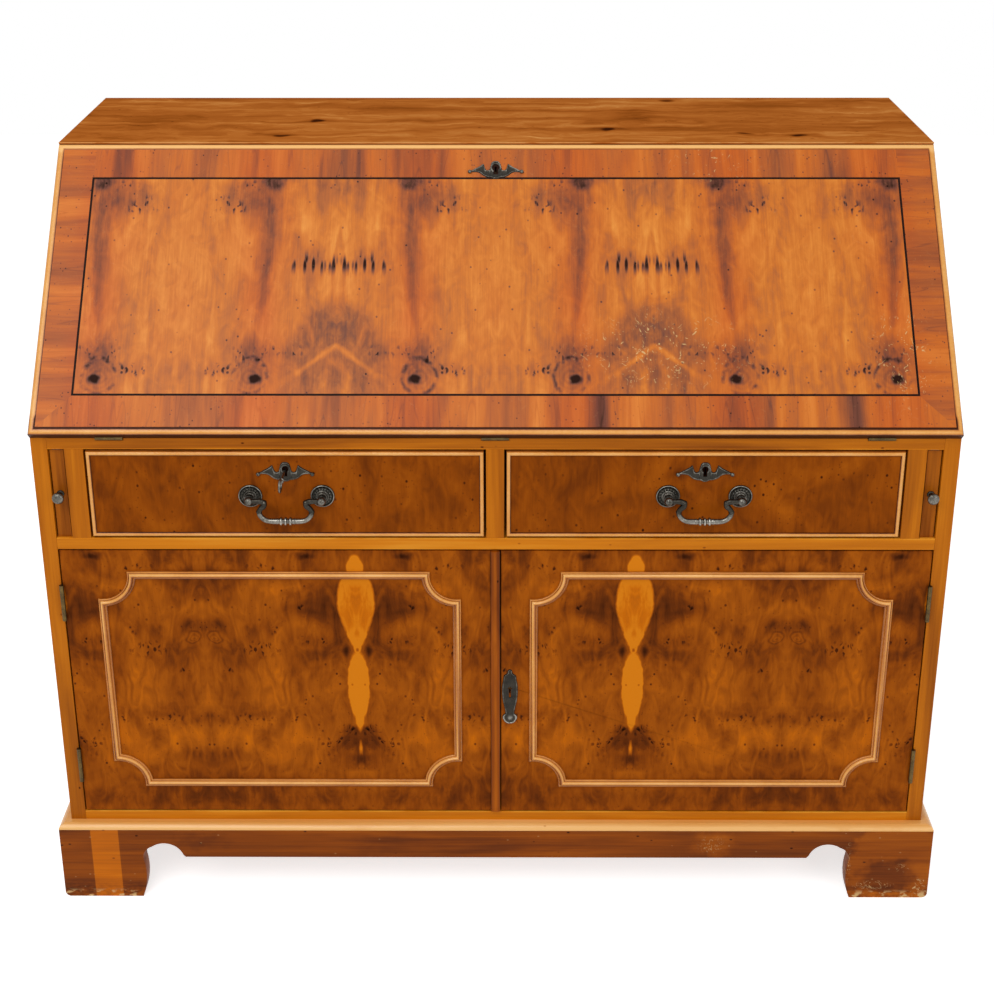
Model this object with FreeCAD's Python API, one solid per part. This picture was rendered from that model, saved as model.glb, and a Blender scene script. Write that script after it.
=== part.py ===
import FreeCAD
import Part
import math
import os

# A slant-front bureau: a fall front over two drawers and two cupboard doors, on a bracket plinth.
# +X is to the right, +Y to the back and +Z up. The origin is on the floor under the middle of the part.

# Driving sizes in millimetres: the plinth
PLINTH_HEIGHT = 115.0
PLINTH_PROUD = 15.5
PLINTH_THICKNESS = 22.0
FOOT_WIDTH = 113.0
TOE_ROUND = 8.0
ARCH_WIDTH = 66.0
APRON_CLEARANCE = 69.0
ARCH_RISE = 23.0
FOOT_BLOCK_WIDTH = 86.0
FOOT_BLOCK_DEPTH = 40.0
BASE_MOULDING_HEIGHT = 8.0
BASE_MOULDING_LIP = 2.0

# Carcass boards
CARCASS_WIDTH = 1220.0
CARCASS_DEPTH = 570.0
SIDE_THICKNESS = 21.0
TOP_THICKNESS = 18.0
TOP_DEPTH = 296.0
BOTTOM_THICKNESS = 22.0
DOOR_OPENING_HEIGHT = 420.0
DUST_BOARD_THICKNESS = 17.0
DRAWER_OPENING_HEIGHT = 130.0
WRITING_BOARD_THICKNESS = 16.0
COMPARTMENT_HEIGHT = 311.0
BACK_THICKNESS = 6.0
BACK_RECESS = 6.0
CENTRE_DIVIDER_WIDTH = 24.0
LOPER_DIVIDER_WIDTH = 25.0
LOPER_SLOT_WIDTH = 22.0

# Cupboard shelf and its pegs
SHELF_THICKNESS = 16.0
SHELF_HEIGHT = 215.0
SHELF_SETBACK = 60.0
SHELF_END_GAP = 0.5
PEG_RADIUS = 3.0
PEG_SUNK = 9.0
PEG_PROUD = 12.0
PEG_INSET = 60.0
PEG_FIT = 0.05

# Pigeonholes over the writing board
PIGEONHOLE_GAP = 26.0
PIGEONHOLE_BOARD = 8.0
CENTRE_BAY_HALF = 200.0
INNER_DRAWER_HEIGHT = 72.0
CENTRE_SHELF_RISE = 165.0

# Small drawers under the pigeonholes
INNER_DRAWER_GAP = 1.0
INNER_DRAWER_BACK_SPACE = 33.0
INNER_DRAWER_FRONT = 12.0
INNER_DRAWER_LINING = 6.0
INNER_DRAWER_BOTTOM = 3.0
INNER_DRAWER_LIP = 12.0
INNER_KNOB_RADIUS = 9.0
INNER_KNOB_REACH = 18.0

# Fall front
FALL_THICKNESS = 16.0
FALL_PIN_REACH = 0.5
FALL_HEEL_GAP = 0.5
FALL_TOP_GAP = 1.0
FALL_SEAT_GAP = 0.4
LIPPING_WIDTH = 10.0
LIPPING_STEP = 1.0
LIPPING_ROUND = 4.5
STRINGING_INSET = 43.0
STRINGING_WIDTH = 3.0
STRINGING_DEPTH = 1.0
LEATHER_MARGIN = 62.0
LEATHER_THICKNESS = 1.2

# Fall hinges
FALL_HINGE_INSET = 104.0
FALL_HINGE_LENGTH = 36.0
FALL_HINGE_LEAF = 18.0
FALL_HINGE_GAUGE = 1.2
FALL_KNUCKLE_RADIUS = 2.6
FALL_PIN_RADIUS = 1.2
FALL_KNUCKLE_CLEARANCE = 0.6

# Fits that every hinge and lock shares
PIN_FIT = 0.05
KNUCKLE_GAP = 0.3

# Drawers
DRAWER_GAP = 3.0
DRAWER_FRONT_THICKNESS = 20.0
DRAWER_BACK_SPACE = 78.0
DRAWER_LINING = 11.0
DRAWER_LINING_DROP = 9.0
DRAWER_BOTTOM_RISE = 9.0
DRAWER_BOTTOM_THICKNESS = 5.0
BEAD_WIDTH = 6.0
BEAD_DEPTH = 8.0
BEAD_PROUD = 2.5
STOP_LENGTH = 40.0
STOP_WIDTH = 25.0
STOP_HEIGHT = 6.0
STOP_INSET = 90.0

# Drawer handles
HANDLE_SPACING = 96.0
HANDLE_DROP = 64.0
ROSETTE_RADIUS = 16.0
ROSETTE_RIM = 3.0
POST_RADIUS = 5.0
POST_REACH = 18.0
BALL_RADIUS = 6.0
BAIL_RADIUS = 2.9
BAIL_PIN_RADIUS = 2.2
BAIL_DROP = 29.0
BAIL_NECK_INSET = 12.0
BAIL_ELBOW_RADIUS = 4.5
BAIL_BEND_RADIUS = 9.0
BAIL_RING_RADIUS = 4.6
BAIL_RING_WIDTH = 2.4
BAIL_RING_PITCH = 4.6
SHANK_RADIUS = 2.0
SHANK_FIT = 0.1
NUT_RADIUS = 4.5
NUT_THICKNESS = 4.0

# Locks: one size for the drawers and the door, a deeper one for the fall
LOCK_WIDTH = 60.0
LOCK_HEIGHT = 44.0
FALL_LOCK_HEIGHT = 56.0
LOCK_DEPTH = 11.0
LOCK_BACK = 3.0
BOLT_WIDTH = 16.0
BOLT_THICKNESS = 5.0
BOLT_LENGTH = 16.0
BOLT_SINK = 4.2
BOLT_FIT = 0.3
FALL_BOLT_THROW = 8.0
DRAWER_BOLT_THROW = 7.0
DOOR_BOLT_THROW = 9.0
MORTISE_SPARE = 0.7
KEEPER_WIDTH = 34.0
KEEPER_DEPTH = 13.0
KEEPER_GAUGE = 2.4
KEY_DROP = 25.0
FALL_KEY_DROP = 38.0
KEY_CAVITY_RADIUS = 9.0
KEY_SLOT_DROP = 9.0
DOOR_KEY_BACKSET = 12.0

# Lock plates
PLATE_WIDTH = 77.0
PLATE_HEIGHT = 28.0
PLATE_GAUGE = 1.8
PLATE_KEY_RISE = 18.0
PLATE_KEY_RADIUS = 4.2
PLATE_KEY_SLOT = 5.4
PLATE_KEY_DROP = 9.0
DOOR_PLATE_WIDTH = 22.0
DOOR_PLATE_HEIGHT = 87.0
DOOR_PLATE_KEY_RISE = 57.0
DOOR_PLATE_KEY_RADIUS = 2.6
DOOR_PLATE_KEY_SLOT = 3.2
DOOR_PLATE_KEY_DROP = 15.0

# Key
KEY_REACH = 64.0
KEY_RADIUS = 1.6
KEY_FIT = 0.1
KEY_BOW_RADIUS = 11.5
KEY_BOW_BAR = 4.0
KEY_BOW_GAUGE = 3.0
KEY_COLLAR_RADIUS = 3.4
KEY_COLLAR_LENGTH = 4.0
KEY_BIT_REACH = 7.0
KEY_BIT_LENGTH = 4.0
KEY_BIT_GAUGE = 2.2

# Lopers
LOPER_WIDTH = 18.0
LOPER_RECESS = 4.0
LOPER_BACK_SPACE = 84.0
LOPER_TOP_GAP = 2.5
LOPER_STAY = 110.0
LOPER_PEG_RADIUS = 4.0
LOPER_PEG_SETBACK = 60.0
LOPER_PEG_SUNK = 12.0
LOPER_PEG_ENTRY = 5.0
LOPER_GROOVE_DEPTH = 6.0
LOPER_GROOVE_FIT = 0.5
LOPER_KNOB_RADIUS = 8.0
LOPER_KNOB_STEM = 3.2
LOPER_KNOB_REACH = 20.0
LOPER_KNOB_TENON = 12.0

# Doors
DOOR_THICKNESS = 18.0
DOOR_GAP = 2.0
MEETING_GAP = 1.5
ASTRAGAL_WIDTH = 13.0
ASTRAGAL_PROUD = 4.0
PANEL_INNER_EDGE = 47.0
PANEL_OUTER_MARGIN = 47.0
PANEL_TOP_MARGIN = 31.0
PANEL_BOTTOM_MARGIN = 42.0
PANEL_CORNER_RADIUS = 42.0
MOULDING_WIDTH = 11.0
MOULDING_HEIGHT = 6.0
MOULDING_QUIRK = 1.8
MOULDING_QUIRK_DEPTH = 1.5
DOOR_LOCK_RISE = 203.0

# Door hinges
DOOR_HINGE_INSET = 78.0
DOOR_HINGE_LENGTH = 54.0
DOOR_HINGE_LEAF = 15.0
DOOR_HINGE_GAUGE = 0.9
DOOR_KNUCKLE_RADIUS = 3.0
DOOR_PIN_REACH = 3.6
DOOR_PIN_RADIUS = 1.4

# Flush bolt on the left door
FLUSH_BOLT_WIDTH = 8.0
FLUSH_BOLT_GAUGE = 5.0
FLUSH_BOLT_LENGTH = 60.0
FLUSH_BOLT_SINK = 2.0
FLUSH_BOLT_TRAVEL = 10.0
FLUSH_BOLT_INSET = 30.0
FLUSH_BOLT_FIT = 0.3
FLUSH_BOLT_THUMB_RADIUS = 2.5
FLUSH_BOLT_THUMB_REACH = 5.0

# One length by which every cutting block runs past what it cuts
OVERRUN = 5.0

# Places that follow from the driving sizes
SIDES = (-1, 1)
DIAGONAL = math.sqrt(0.5)
HALF_WIDTH = CARCASS_WIDTH / 2
INNER_HALF = HALF_WIDTH - SIDE_THICKNESS
FRONT = (KEY_REACH - CARCASS_DEPTH) / 2
BACK = FRONT + CARCASS_DEPTH
BACK_FACE = BACK - BACK_RECESS - BACK_THICKNESS
BOTTOM_TOP = PLINTH_HEIGHT + BOTTOM_THICKNESS
DUST_BOTTOM = BOTTOM_TOP + DOOR_OPENING_HEIGHT
DUST_TOP = DUST_BOTTOM + DUST_BOARD_THICKNESS
WRITING_BOTTOM = DUST_TOP + DRAWER_OPENING_HEIGHT
WRITING_TOP = WRITING_BOTTOM + WRITING_BOARD_THICKNESS
TOP_BOTTOM = WRITING_TOP + COMPARTMENT_HEIGHT
TOP_SURFACE = TOP_BOTTOM + TOP_THICKNESS
SLOT_INNER = INNER_HALF - LOPER_SLOT_WIDTH
DRAWER_OUTER = SLOT_INNER - LOPER_DIVIDER_WIDTH
DRAWER_INNER = CENTRE_DIVIDER_WIDTH / 2
DRAWER_CENTRE = (DRAWER_OUTER + DRAWER_INNER) / 2
DRAWER_HALF = (DRAWER_OUTER - DRAWER_INNER) / 2 - DRAWER_GAP
DRAWER_BASE = DUST_TOP + DRAWER_GAP
DRAWER_CREST = WRITING_BOTTOM - DRAWER_GAP
DRAWER_FRONT_BACK = FRONT + DRAWER_FRONT_THICKNESS
LOPER_LENGTH = BACK_FACE - LOPER_BACK_SPACE - FRONT - LOPER_RECESS
LOPER_TRAVEL = LOPER_LENGTH - LOPER_STAY
HANDLE_HEIGHT = DRAWER_CREST - HANDLE_DROP
DOOR_BASE = BOTTOM_TOP + DOOR_GAP
DOOR_CREST = DUST_BOTTOM - DOOR_GAP
DOOR_OUTER = INNER_HALF - DOOR_GAP
DOOR_BACK = FRONT + DOOR_THICKNESS
ASTRAGAL_HALF = ASTRAGAL_WIDTH / 2
RIGHT_DOOR_EDGE = ASTRAGAL_HALF + MEETING_GAP
DOOR_PIN_X = INNER_HALF - DOOR_GAP / 2
DOOR_PIN_Y = FRONT - DOOR_PIN_REACH
DOOR_LOCK_HEIGHT = DOOR_BASE + DOOR_LOCK_RISE
BOLT_CENTRE = LOCK_BACK + BOLT_THICKNESS / 2
PIGEONHOLE_FRONT = BACK - TOP_DEPTH + PIGEONHOLE_GAP
INNER_SHELF_BOTTOM = WRITING_TOP + INNER_DRAWER_HEIGHT
INNER_SHELF_TOP = INNER_SHELF_BOTTOM + PIGEONHOLE_BOARD

# The closed fall leans back from its pin so that its outer face meets the front arris of the top
PIN_Y = FRONT - FALL_PIN_REACH
PIN_Z = WRITING_TOP
ARRIS_RUN = BACK - TOP_DEPTH - PIN_Y
ARRIS_RISE = TOP_SURFACE - PIN_Z
ARRIS_SPAN = math.hypot(ARRIS_RUN, ARRIS_RISE)
FALL_ANGLE = math.atan2(ARRIS_RISE, ARRIS_RUN) - math.asin(FALL_THICKNESS / ARRIS_SPAN)
FALL_REACH = math.sqrt(ARRIS_SPAN**2 - FALL_THICKNESS**2)
FALL_END = FALL_REACH - FALL_TOP_GAP
CORE_HALF = HALF_WIDTH - LIPPING_WIDTH
CORE_START = FALL_HEEL_GAP + LIPPING_WIDTH
CORE_END = FALL_END - LIPPING_WIDTH

# Half of a bat-wing lock plate, from its foot up to its crest: arcs as (via, end) pairs and one line,
# as shares of half its width and of its height
WING_SHARES = (
    ((0.10, 0.03), (0.17, 0.17)),
    ((0.36, 0.10), (0.55, 0.28)),
    ((0.66, 0.43), (0.79, 0.43)),
    ((1.00, 0.32), (0.89, 0.53)),
    (0.50, 0.88),
    ((0.45, 0.57), (0.31, 0.48)),
    ((0.21, 0.52), (0.18, 0.70)),
    ((0.13, 0.93), (0.00, 1.00)),
)

# Half of the long door plate in the same form
LONG_PLATE_SHARES = (
    ((0.90, 0.09), (0.46, 0.19)),
    (0.52, 0.24),
    ((0.80, 0.38), (1.00, 0.56)),
    ((0.98, 0.72), (0.76, 0.84)),
    (0.70, 0.90),
    (0.34, 0.92),
    ((0.20, 0.98), (0.00, 1.00)),
)

# Inner edge of a bracket foot and its arch: arcs from the toe to the apron,
# as shares of the arch's width and of the arch's crown height
BRACKET_SHARES = (
    ((0.10, 0.28), (0.08, 0.68)),
    ((0.11, 0.84), (0.28, 0.94)),
    ((0.66, 0.99), (0.95, 0.79)),
)

# Profile of a turned knob: radius as a share of the knob's own, reach as a share of its whole reach
KNOB_SHARES = ((0.40, 0.00), (0.36, 0.45), (0.94, 0.62), (1.00, 0.76), (0.70, 0.95), (0.25, 1.00))

# Half profile of a door's applied moulding, from the door up: shares of its half width and of its height
MOULDING_SHARES = ((1.0, 0.0), (1.0, 0.4), (0.8, 0.85), (0.5, 1.0))

# Profile of a handle's rosette inside its rim: share of the radius, share of the rim's height
ROSETTE_SHARES = ((0.86, 0.62), (0.50, 0.90), (0.34, 1.60))


def vector(x, y, z):
    """A point or direction in the part's frame."""
    return FreeCAD.Vector(x, y, z)


ORIGIN = vector(0, 0, 0)
X_AXIS = vector(1, 0, 0)
Y_AXIS = vector(0, 1, 0)
Z_AXIS = vector(0, 0, 1)


def block(x0, x1, y0, y1, z0, z1):
    """A box between two corners."""
    return Part.makeBox(x1 - x0, y1 - y0, z1 - z0, vector(x0, y0, z0))


def bar(radius, start, end):
    """A round bar between two points."""
    axis = end - start
    return Part.makeCylinder(radius, axis.Length, start, axis)


def flat(u, v):
    """A point of a profile lying in the XY plane."""
    return vector(u, v, 0)


def upright(u, v):
    """A point of a profile standing in the YZ plane."""
    return vector(0, u, v)


def edges_of(start, steps, place=flat):
    """Edges from start along steps: two numbers are a line's end, two points an arc's via and end."""
    edges = []
    here = start
    for step in steps:
        if isinstance(step[0], tuple):
            via, end = step
            edges.append(Part.Arc(place(*here), place(*via), place(*end)).toShape())
        else:
            end = step
            edges.append(Part.LineSegment(place(*here), place(*end)).toShape())
        here = end
    return edges


def outline(start, steps, place=flat):
    """A closed wire from start along steps and back."""
    return Part.Wire(edges_of(start, list(steps) + [start], place))


def prism(wire, direction):
    """A solid swept straight from a flat wire."""
    return Part.Face(wire).extrude(direction)


def side_prism(points, x0, x1):
    """A prism along X whose section is a polygon of (y, z) points."""
    wire = Part.makePolygon([vector(x0, y, z) for y, z in points + points[:1]])
    return prism(wire, vector(x1 - x0, 0, 0))


def scaled_steps(shares, width, height):
    """An outline's steps with shares turned into sizes."""
    steps = []
    for step in shares:
        if isinstance(step[0], tuple):
            steps.append(tuple((u * width, v * height) for u, v in step))
        else:
            steps.append((step[0] * width, step[1] * height))
    return steps


def mirrored_plate(shares, width, height, gauge):
    """A plate whose outline is drawn on the right and mirrored on the left, foot at the origin."""
    right = edges_of((0, 0), scaled_steps(shares, width / 2, height))
    left = [edge.mirror(ORIGIN, X_AXIS) for edge in right]
    wire = Part.Wire(Part.__sortEdges__(right + left))
    return prism(wire, vector(0, 0, gauge))


def turned(points):
    """A body turned about the Y axis from the (radius, height) points of its profile, foot at the origin."""
    wire = outline((0, 0), list(points) + [(0, points[-1][1])])
    return Part.Face(wire).revolve(ORIGIN, Y_AXIS, 360)


def stood(shape, x, y, z, turn=0):
    """A shape drawn with Y up and Z outward, stood on a vertical face that looks to the front."""
    shape = shape.rotated(ORIGIN, X_AXIS, 90)
    return shape.rotated(ORIGIN, Y_AXIS, turn).translated(vector(x, y, z))


def laid(shape):
    """A shape drawn with Y up the slope and Z outward from the inner face, laid on the closed fall."""
    return shape.rotated(ORIGIN, X_AXIS, math.degrees(FALL_ANGLE)).translated(vector(0, PIN_Y, PIN_Z))


def fall_point(along, out):
    """The (y, z) place of a point of the closed fall, up its slope and out from its inner face."""
    y = PIN_Y + along * math.cos(FALL_ANGLE) - out * math.sin(FALL_ANGLE)
    z = PIN_Z + along * math.sin(FALL_ANGLE) + out * math.cos(FALL_ANGLE)
    return (y, z)


def mitred_frame(x0, x1, y0, y1, start, steps, width, low, high):
    """Four mitred strips round a rectangle: the profile runs inward from the edge and out along Z."""
    corners = ((x0, y0, 0), (x1, y0, 90), (x1, y1, 180), (x0, y1, 270))
    strips = []
    for index, (x, y, turn) in enumerate(corners):
        length = (x1 - x0, y1 - y0)[index % 2]
        strip = prism(outline(start, steps, upright), vector(length, 0, 0))
        mitre = outline((0, 0), ((length, 0), (length - width, width), (width, width)))
        strip = strip.common(prism(mitre, vector(0, 0, high - low)).translated(vector(0, 0, low)))
        strips.append(strip.rotated(ORIGIN, Z_AXIS, turn).translated(vector(x, y, 0)))
    return strips


def keyhole(radius, slot, drop, low, high):
    """A keyhole cutter with its round eye at the origin and its slot hanging down."""
    eye = Part.makeCylinder(radius, high - low, vector(0, 0, low))
    return eye.fuse(block(-slot / 2, slot / 2, -drop, 0, low, high))


def save(name, *shapes):
    """Write one node, as a group of separate solids where it has more than one."""
    solids = [solid for shape in shapes for solid in shape.Solids]
    node = solids[0] if len(solids) == 1 else Part.makeCompound(solids)
    node.exportStep("parts/" + name + ".step")


# Plinth

def bracket_wire(length, toe_start, toe_end, place=flat, toe_round=0):
    """The outline of a board with a bracket foot at each end and an apron between, its outer toes rounded."""
    crown = APRON_CLEARANCE + ARCH_RISE
    rise = scaled_steps(BRACKET_SHARES, ARCH_WIDTH, crown)
    first = [tuple((toe_start + u, v) for u, v in step) for step in rise]
    last = [tuple((length - toe_end - u, v) for u, v in step) for step in rise]
    inset = toe_round * (1 - DIAGONAL)
    steps = [(0, toe_round), ((inset, inset), (toe_round, 0))] if toe_round else [(0, 0)]
    steps += [(toe_start, 0)] + first
    steps += [(toe_start + ARCH_WIDTH, APRON_CLEARANCE), (length - toe_end - ARCH_WIDTH, APRON_CLEARANCE)]
    starts = [(length - toe_end, 0)] + [step[-1] for step in last]
    steps.append(starts[-1])
    for index in range(len(last) - 1, -1, -1):
        steps.append((last[index][0], starts[index]))
    if toe_round:
        steps += [(length - toe_round, 0), ((length - inset, inset), (length, toe_round))]
    else:
        steps.append((length, 0))
    steps.append((length, PLINTH_HEIGHT))
    return outline((0, PLINTH_HEIGHT), steps, place)


def plinth_front():
    """The front board of the plinth, across the full width of both feet."""
    length = CARCASS_WIDTH + 2 * PLINTH_PROUD
    wire = bracket_wire(length, FOOT_WIDTH, FOOT_WIDTH, toe_round=TOE_ROUND)
    board = prism(wire, vector(0, 0, PLINTH_THICKNESS))
    return stood(board, -length / 2, FRONT - PLINTH_PROUD + PLINTH_THICKNESS, 0)


def plinth_sides():
    """The two side boards, butted behind the front board, their toes' outer arris rounded to match."""
    start_y = FRONT - PLINTH_PROUD + PLINTH_THICKNESS
    wire = bracket_wire(BACK - start_y, FOOT_WIDTH - PLINTH_THICKNESS, FOOT_WIDTH, upright)
    board = prism(wire, vector(PLINTH_THICKNESS, 0, 0))
    board = board.translated(vector(-HALF_WIDTH - PLINTH_PROUD, start_y, 0))
    low = [edge for edge in board.Edges if not round(edge.BoundBox.ZMax)]
    toes = [edge for edge in low if edge.BoundBox.XMax < -HALF_WIDTH]
    board = board.makeFillet(TOE_ROUND, toes)
    return [board, board.mirror(ORIGIN, X_AXIS)]


def foot_blocks():
    """The corner blocks that tie the boards of each foot and carry the carcass."""
    outer = HALF_WIDTH + PLINTH_PROUD - PLINTH_THICKNESS
    front = FRONT - PLINTH_PROUD + PLINTH_THICKNESS
    blocks = []
    for side in SIDES:
        x0, x1 = sorted((side * outer, side * (outer - FOOT_BLOCK_WIDTH)))
        blocks.append(block(x0, x1, front, front + FOOT_BLOCK_DEPTH, 0, PLINTH_HEIGHT))
        blocks.append(block(x0, x1, BACK - FOOT_BLOCK_DEPTH, BACK, 0, PLINTH_HEIGHT))
    return blocks


def base_moulding():
    """The moulding round the foot of the carcass, mitred at the front corners."""
    low = PLINTH_HEIGHT
    high = low + BASE_MOULDING_HEIGHT
    bow = (PLINTH_PROUD - BASE_MOULDING_LIP) * DIAGONAL
    rise = (BASE_MOULDING_HEIGHT - BASE_MOULDING_LIP) * DIAGONAL
    curve = ((BASE_MOULDING_LIP + bow, low + BASE_MOULDING_LIP + rise), (BASE_MOULDING_LIP, high))
    steps = ((PLINTH_PROUD, low), (PLINTH_PROUD, low + BASE_MOULDING_LIP), curve, (0, high))
    outer = HALF_WIDTH + PLINTH_PROUD
    edge = FRONT - PLINTH_PROUD
    profile = outline((0, low), steps, upright)
    ahead = prism(profile, vector(2 * outer, 0, 0)).rotated(ORIGIN, Z_AXIS, 180)
    ahead = ahead.translated(vector(outer, FRONT, 0))
    lift = vector(0, 0, high)
    mitre = outline((-outer, edge), ((outer, edge), (HALF_WIDTH, FRONT), (-HALF_WIDTH, FRONT)))
    strips = [ahead.common(prism(mitre, lift))]
    run = prism(profile, vector(BACK - edge, 0, 0))
    for side in SIDES:
        turn = run.rotated(ORIGIN, Z_AXIS, side * -90)
        along = (BACK, edge)[side < 0]
        strip = turn.translated(vector(side * HALF_WIDTH, along, 0))
        corner = ((side * HALF_WIDTH, FRONT), (side * HALF_WIDTH, BACK), (side * outer, BACK))
        strips.append(strip.common(prism(outline((side * outer, edge), corner), lift)))
    return strips


# Carcass

def side_panels():
    """The two sides, sloped under the fall, with holes for the shelf pegs."""
    seat_foot_rise = (FALL_PIN_REACH * math.sin(FALL_ANGLE) - FALL_SEAT_GAP) / math.cos(FALL_ANGLE)
    seat_run = (TOP_BOTTOM - PIN_Z + FALL_SEAT_GAP * math.cos(FALL_ANGLE)) / math.sin(FALL_ANGLE)
    crest = fall_point(seat_run, -FALL_SEAT_GAP)
    points = [(FRONT, PLINTH_HEIGHT), (FRONT, PIN_Z + seat_foot_rise), crest]
    points += [(BACK, TOP_BOTTOM), (BACK, PLINTH_HEIGHT)]
    panels = []
    for side in SIDES:
        x0, x1 = sorted((side * HALF_WIDTH, side * INNER_HALF))
        panel = side_prism(points, x0, x1)
        for start, end in peg_lines(side):
            panel = panel.cut(bar(PEG_RADIUS + PEG_FIT, start, end))
        panels.append(panel)
    return panels


def peg_lines(side):
    """The buried end and the free end of each shelf peg on one side."""
    z = BOTTOM_TOP + SHELF_HEIGHT - PEG_RADIUS - PEG_FIT
    lines = []
    for y in (FRONT + SHELF_SETBACK + PEG_INSET, BACK_FACE - PEG_INSET):
        buried = vector(side * (INNER_HALF + PEG_SUNK), y, z)
        free = vector(side * (INNER_HALF - PEG_PROUD), y, z)
        lines.append((buried, free))
    return lines


def shelf_pegs():
    """The pegs that carry the cupboard shelf."""
    return [bar(PEG_RADIUS, start, end) for side in SIDES for start, end in peg_lines(side)]


def cupboard_shelf():
    """The loose shelf in the cupboard."""
    low = BOTTOM_TOP + SHELF_HEIGHT
    half = INNER_HALF - SHELF_END_GAP
    return block(-half, half, FRONT + SHELF_SETBACK, BACK_FACE, low, low + SHELF_THICKNESS)


def top_board():
    """The top, with a nose that meets the closed fall and a mortise for the fall's lock bolt."""
    nose = fall_point(FALL_REACH, -FALL_SEAT_GAP)
    seat_run = (TOP_BOTTOM - PIN_Z + FALL_SEAT_GAP * math.cos(FALL_ANGLE)) / math.sin(FALL_ANGLE)
    heel = fall_point(seat_run, -FALL_SEAT_GAP)
    points = [(BACK - TOP_DEPTH, TOP_SURFACE), (BACK, TOP_SURFACE), (BACK, TOP_BOTTOM), heel, nose]
    board = side_prism(points, -HALF_WIDTH, HALF_WIDTH)
    return board.cut(on_fall_top(bolt_mortise(FALL_BOLT_THROW)))


def back_panel():
    """The thin back, let in between the sides."""
    return block(-INNER_HALF, INNER_HALF, BACK_FACE, BACK_FACE + BACK_THICKNESS, PLINTH_HEIGHT, TOP_BOTTOM)


def bottom_board():
    """The cupboard's floor, whose front edge shows under the doors."""
    return block(-INNER_HALF, INNER_HALF, FRONT, BACK_FACE, PLINTH_HEIGHT, BOTTOM_TOP)


def writing_board():
    """The writing surface, whose front edge is the rail under the fall."""
    board = block(-INNER_HALF, INNER_HALF, FRONT, BACK_FACE, WRITING_BOTTOM, WRITING_TOP)
    room = FALL_KNUCKLE_RADIUS + FALL_KNUCKLE_CLEARANCE
    half = FALL_HINGE_LENGTH / 2
    for x in fall_hinge_places():
        for reach, depth in ((FALL_HINGE_LEAF, FALL_HINGE_GAUGE), (room, room)):
            low = WRITING_TOP - depth
            high = WRITING_TOP + OVERRUN
            board = board.cut(block(x - half, x + half, FRONT - OVERRUN, PIN_Y + reach, low, high))
    return board


def lock_keepers():
    """The slotted plates under the writing board that the drawers' lock bolts rise into."""
    keepers = []
    for side in SIDES:
        x = side * DRAWER_CENTRE
        y = DRAWER_FRONT_BACK - BOLT_CENTRE
        half = KEEPER_WIDTH / 2
        depth = KEEPER_DEPTH / 2
        plate = block(x - half, x + half, y - depth, y + depth, WRITING_BOTTOM - KEEPER_GAUGE, WRITING_BOTTOM)
        slot = on_drawer(bolt_room(-OVERRUN, OVERRUN), side, WRITING_BOTTOM, DRAWER_FRONT_BACK)
        keepers.append(plate.cut(slot))
    return keepers


def dust_board():
    """The board between drawers and cupboard, whose front edge is the middle rail."""
    board = block(-INNER_HALF, INNER_HALF, FRONT, BACK_FACE, DUST_BOTTOM, DUST_TOP)
    x, y = flush_bolt_place()
    half = FLUSH_BOLT_WIDTH / 2 + FLUSH_BOLT_FIT
    high = DUST_BOTTOM + FLUSH_BOLT_TRAVEL
    y1 = y + FLUSH_BOLT_GAUGE + FLUSH_BOLT_FIT
    return board.cut(block(x - half, x + half, y - FLUSH_BOLT_FIT, y1, DUST_BOTTOM - OVERRUN, high))


def centre_divider():
    """The upright between the two drawers."""
    return block(-DRAWER_INNER, DRAWER_INNER, FRONT, BACK_FACE, DUST_TOP, WRITING_BOTTOM)


def loper_dividers():
    """The uprights between the drawers and the loper slots, each bored for the loper's stop peg."""
    uprights = []
    for side in SIDES:
        x0, x1 = sorted((side * SLOT_INNER, side * DRAWER_OUTER))
        upright_board = block(x0, x1, FRONT, BACK_FACE, DUST_TOP, WRITING_BOTTOM)
        start, end = loper_peg_line(side)
        uprights.append(upright_board.cut(bar(LOPER_PEG_RADIUS + PEG_FIT, start, end)))
    return uprights


def loper_peg_line(side):
    """The buried end and the free end of the peg that stops one loper."""
    y = FRONT + LOPER_PEG_SETBACK
    z = (DUST_TOP + WRITING_BOTTOM) / 2
    slack = (LOPER_SLOT_WIDTH - LOPER_WIDTH) / 2
    buried = vector(side * (SLOT_INNER - LOPER_PEG_SUNK), y, z)
    free = vector(side * (SLOT_INNER + slack + LOPER_PEG_ENTRY), y, z)
    return (buried, free)


def travel_stops():
    """The pegs that stop the lopers and the blocks that stop the drawers flush with the front."""
    stops = [bar(LOPER_PEG_RADIUS, *loper_peg_line(side)) for side in SIDES]
    for side in SIDES:
        for hand in SIDES:
            x = side * DRAWER_CENTRE + hand * (DRAWER_HALF - STOP_INSET)
            y1 = DRAWER_FRONT_BACK + STOP_WIDTH
            z1 = DUST_TOP + STOP_HEIGHT
            half = STOP_LENGTH / 2
            stops.append(block(x - half, x + half, DRAWER_FRONT_BACK, y1, DUST_TOP, z1))
    return stops


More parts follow.
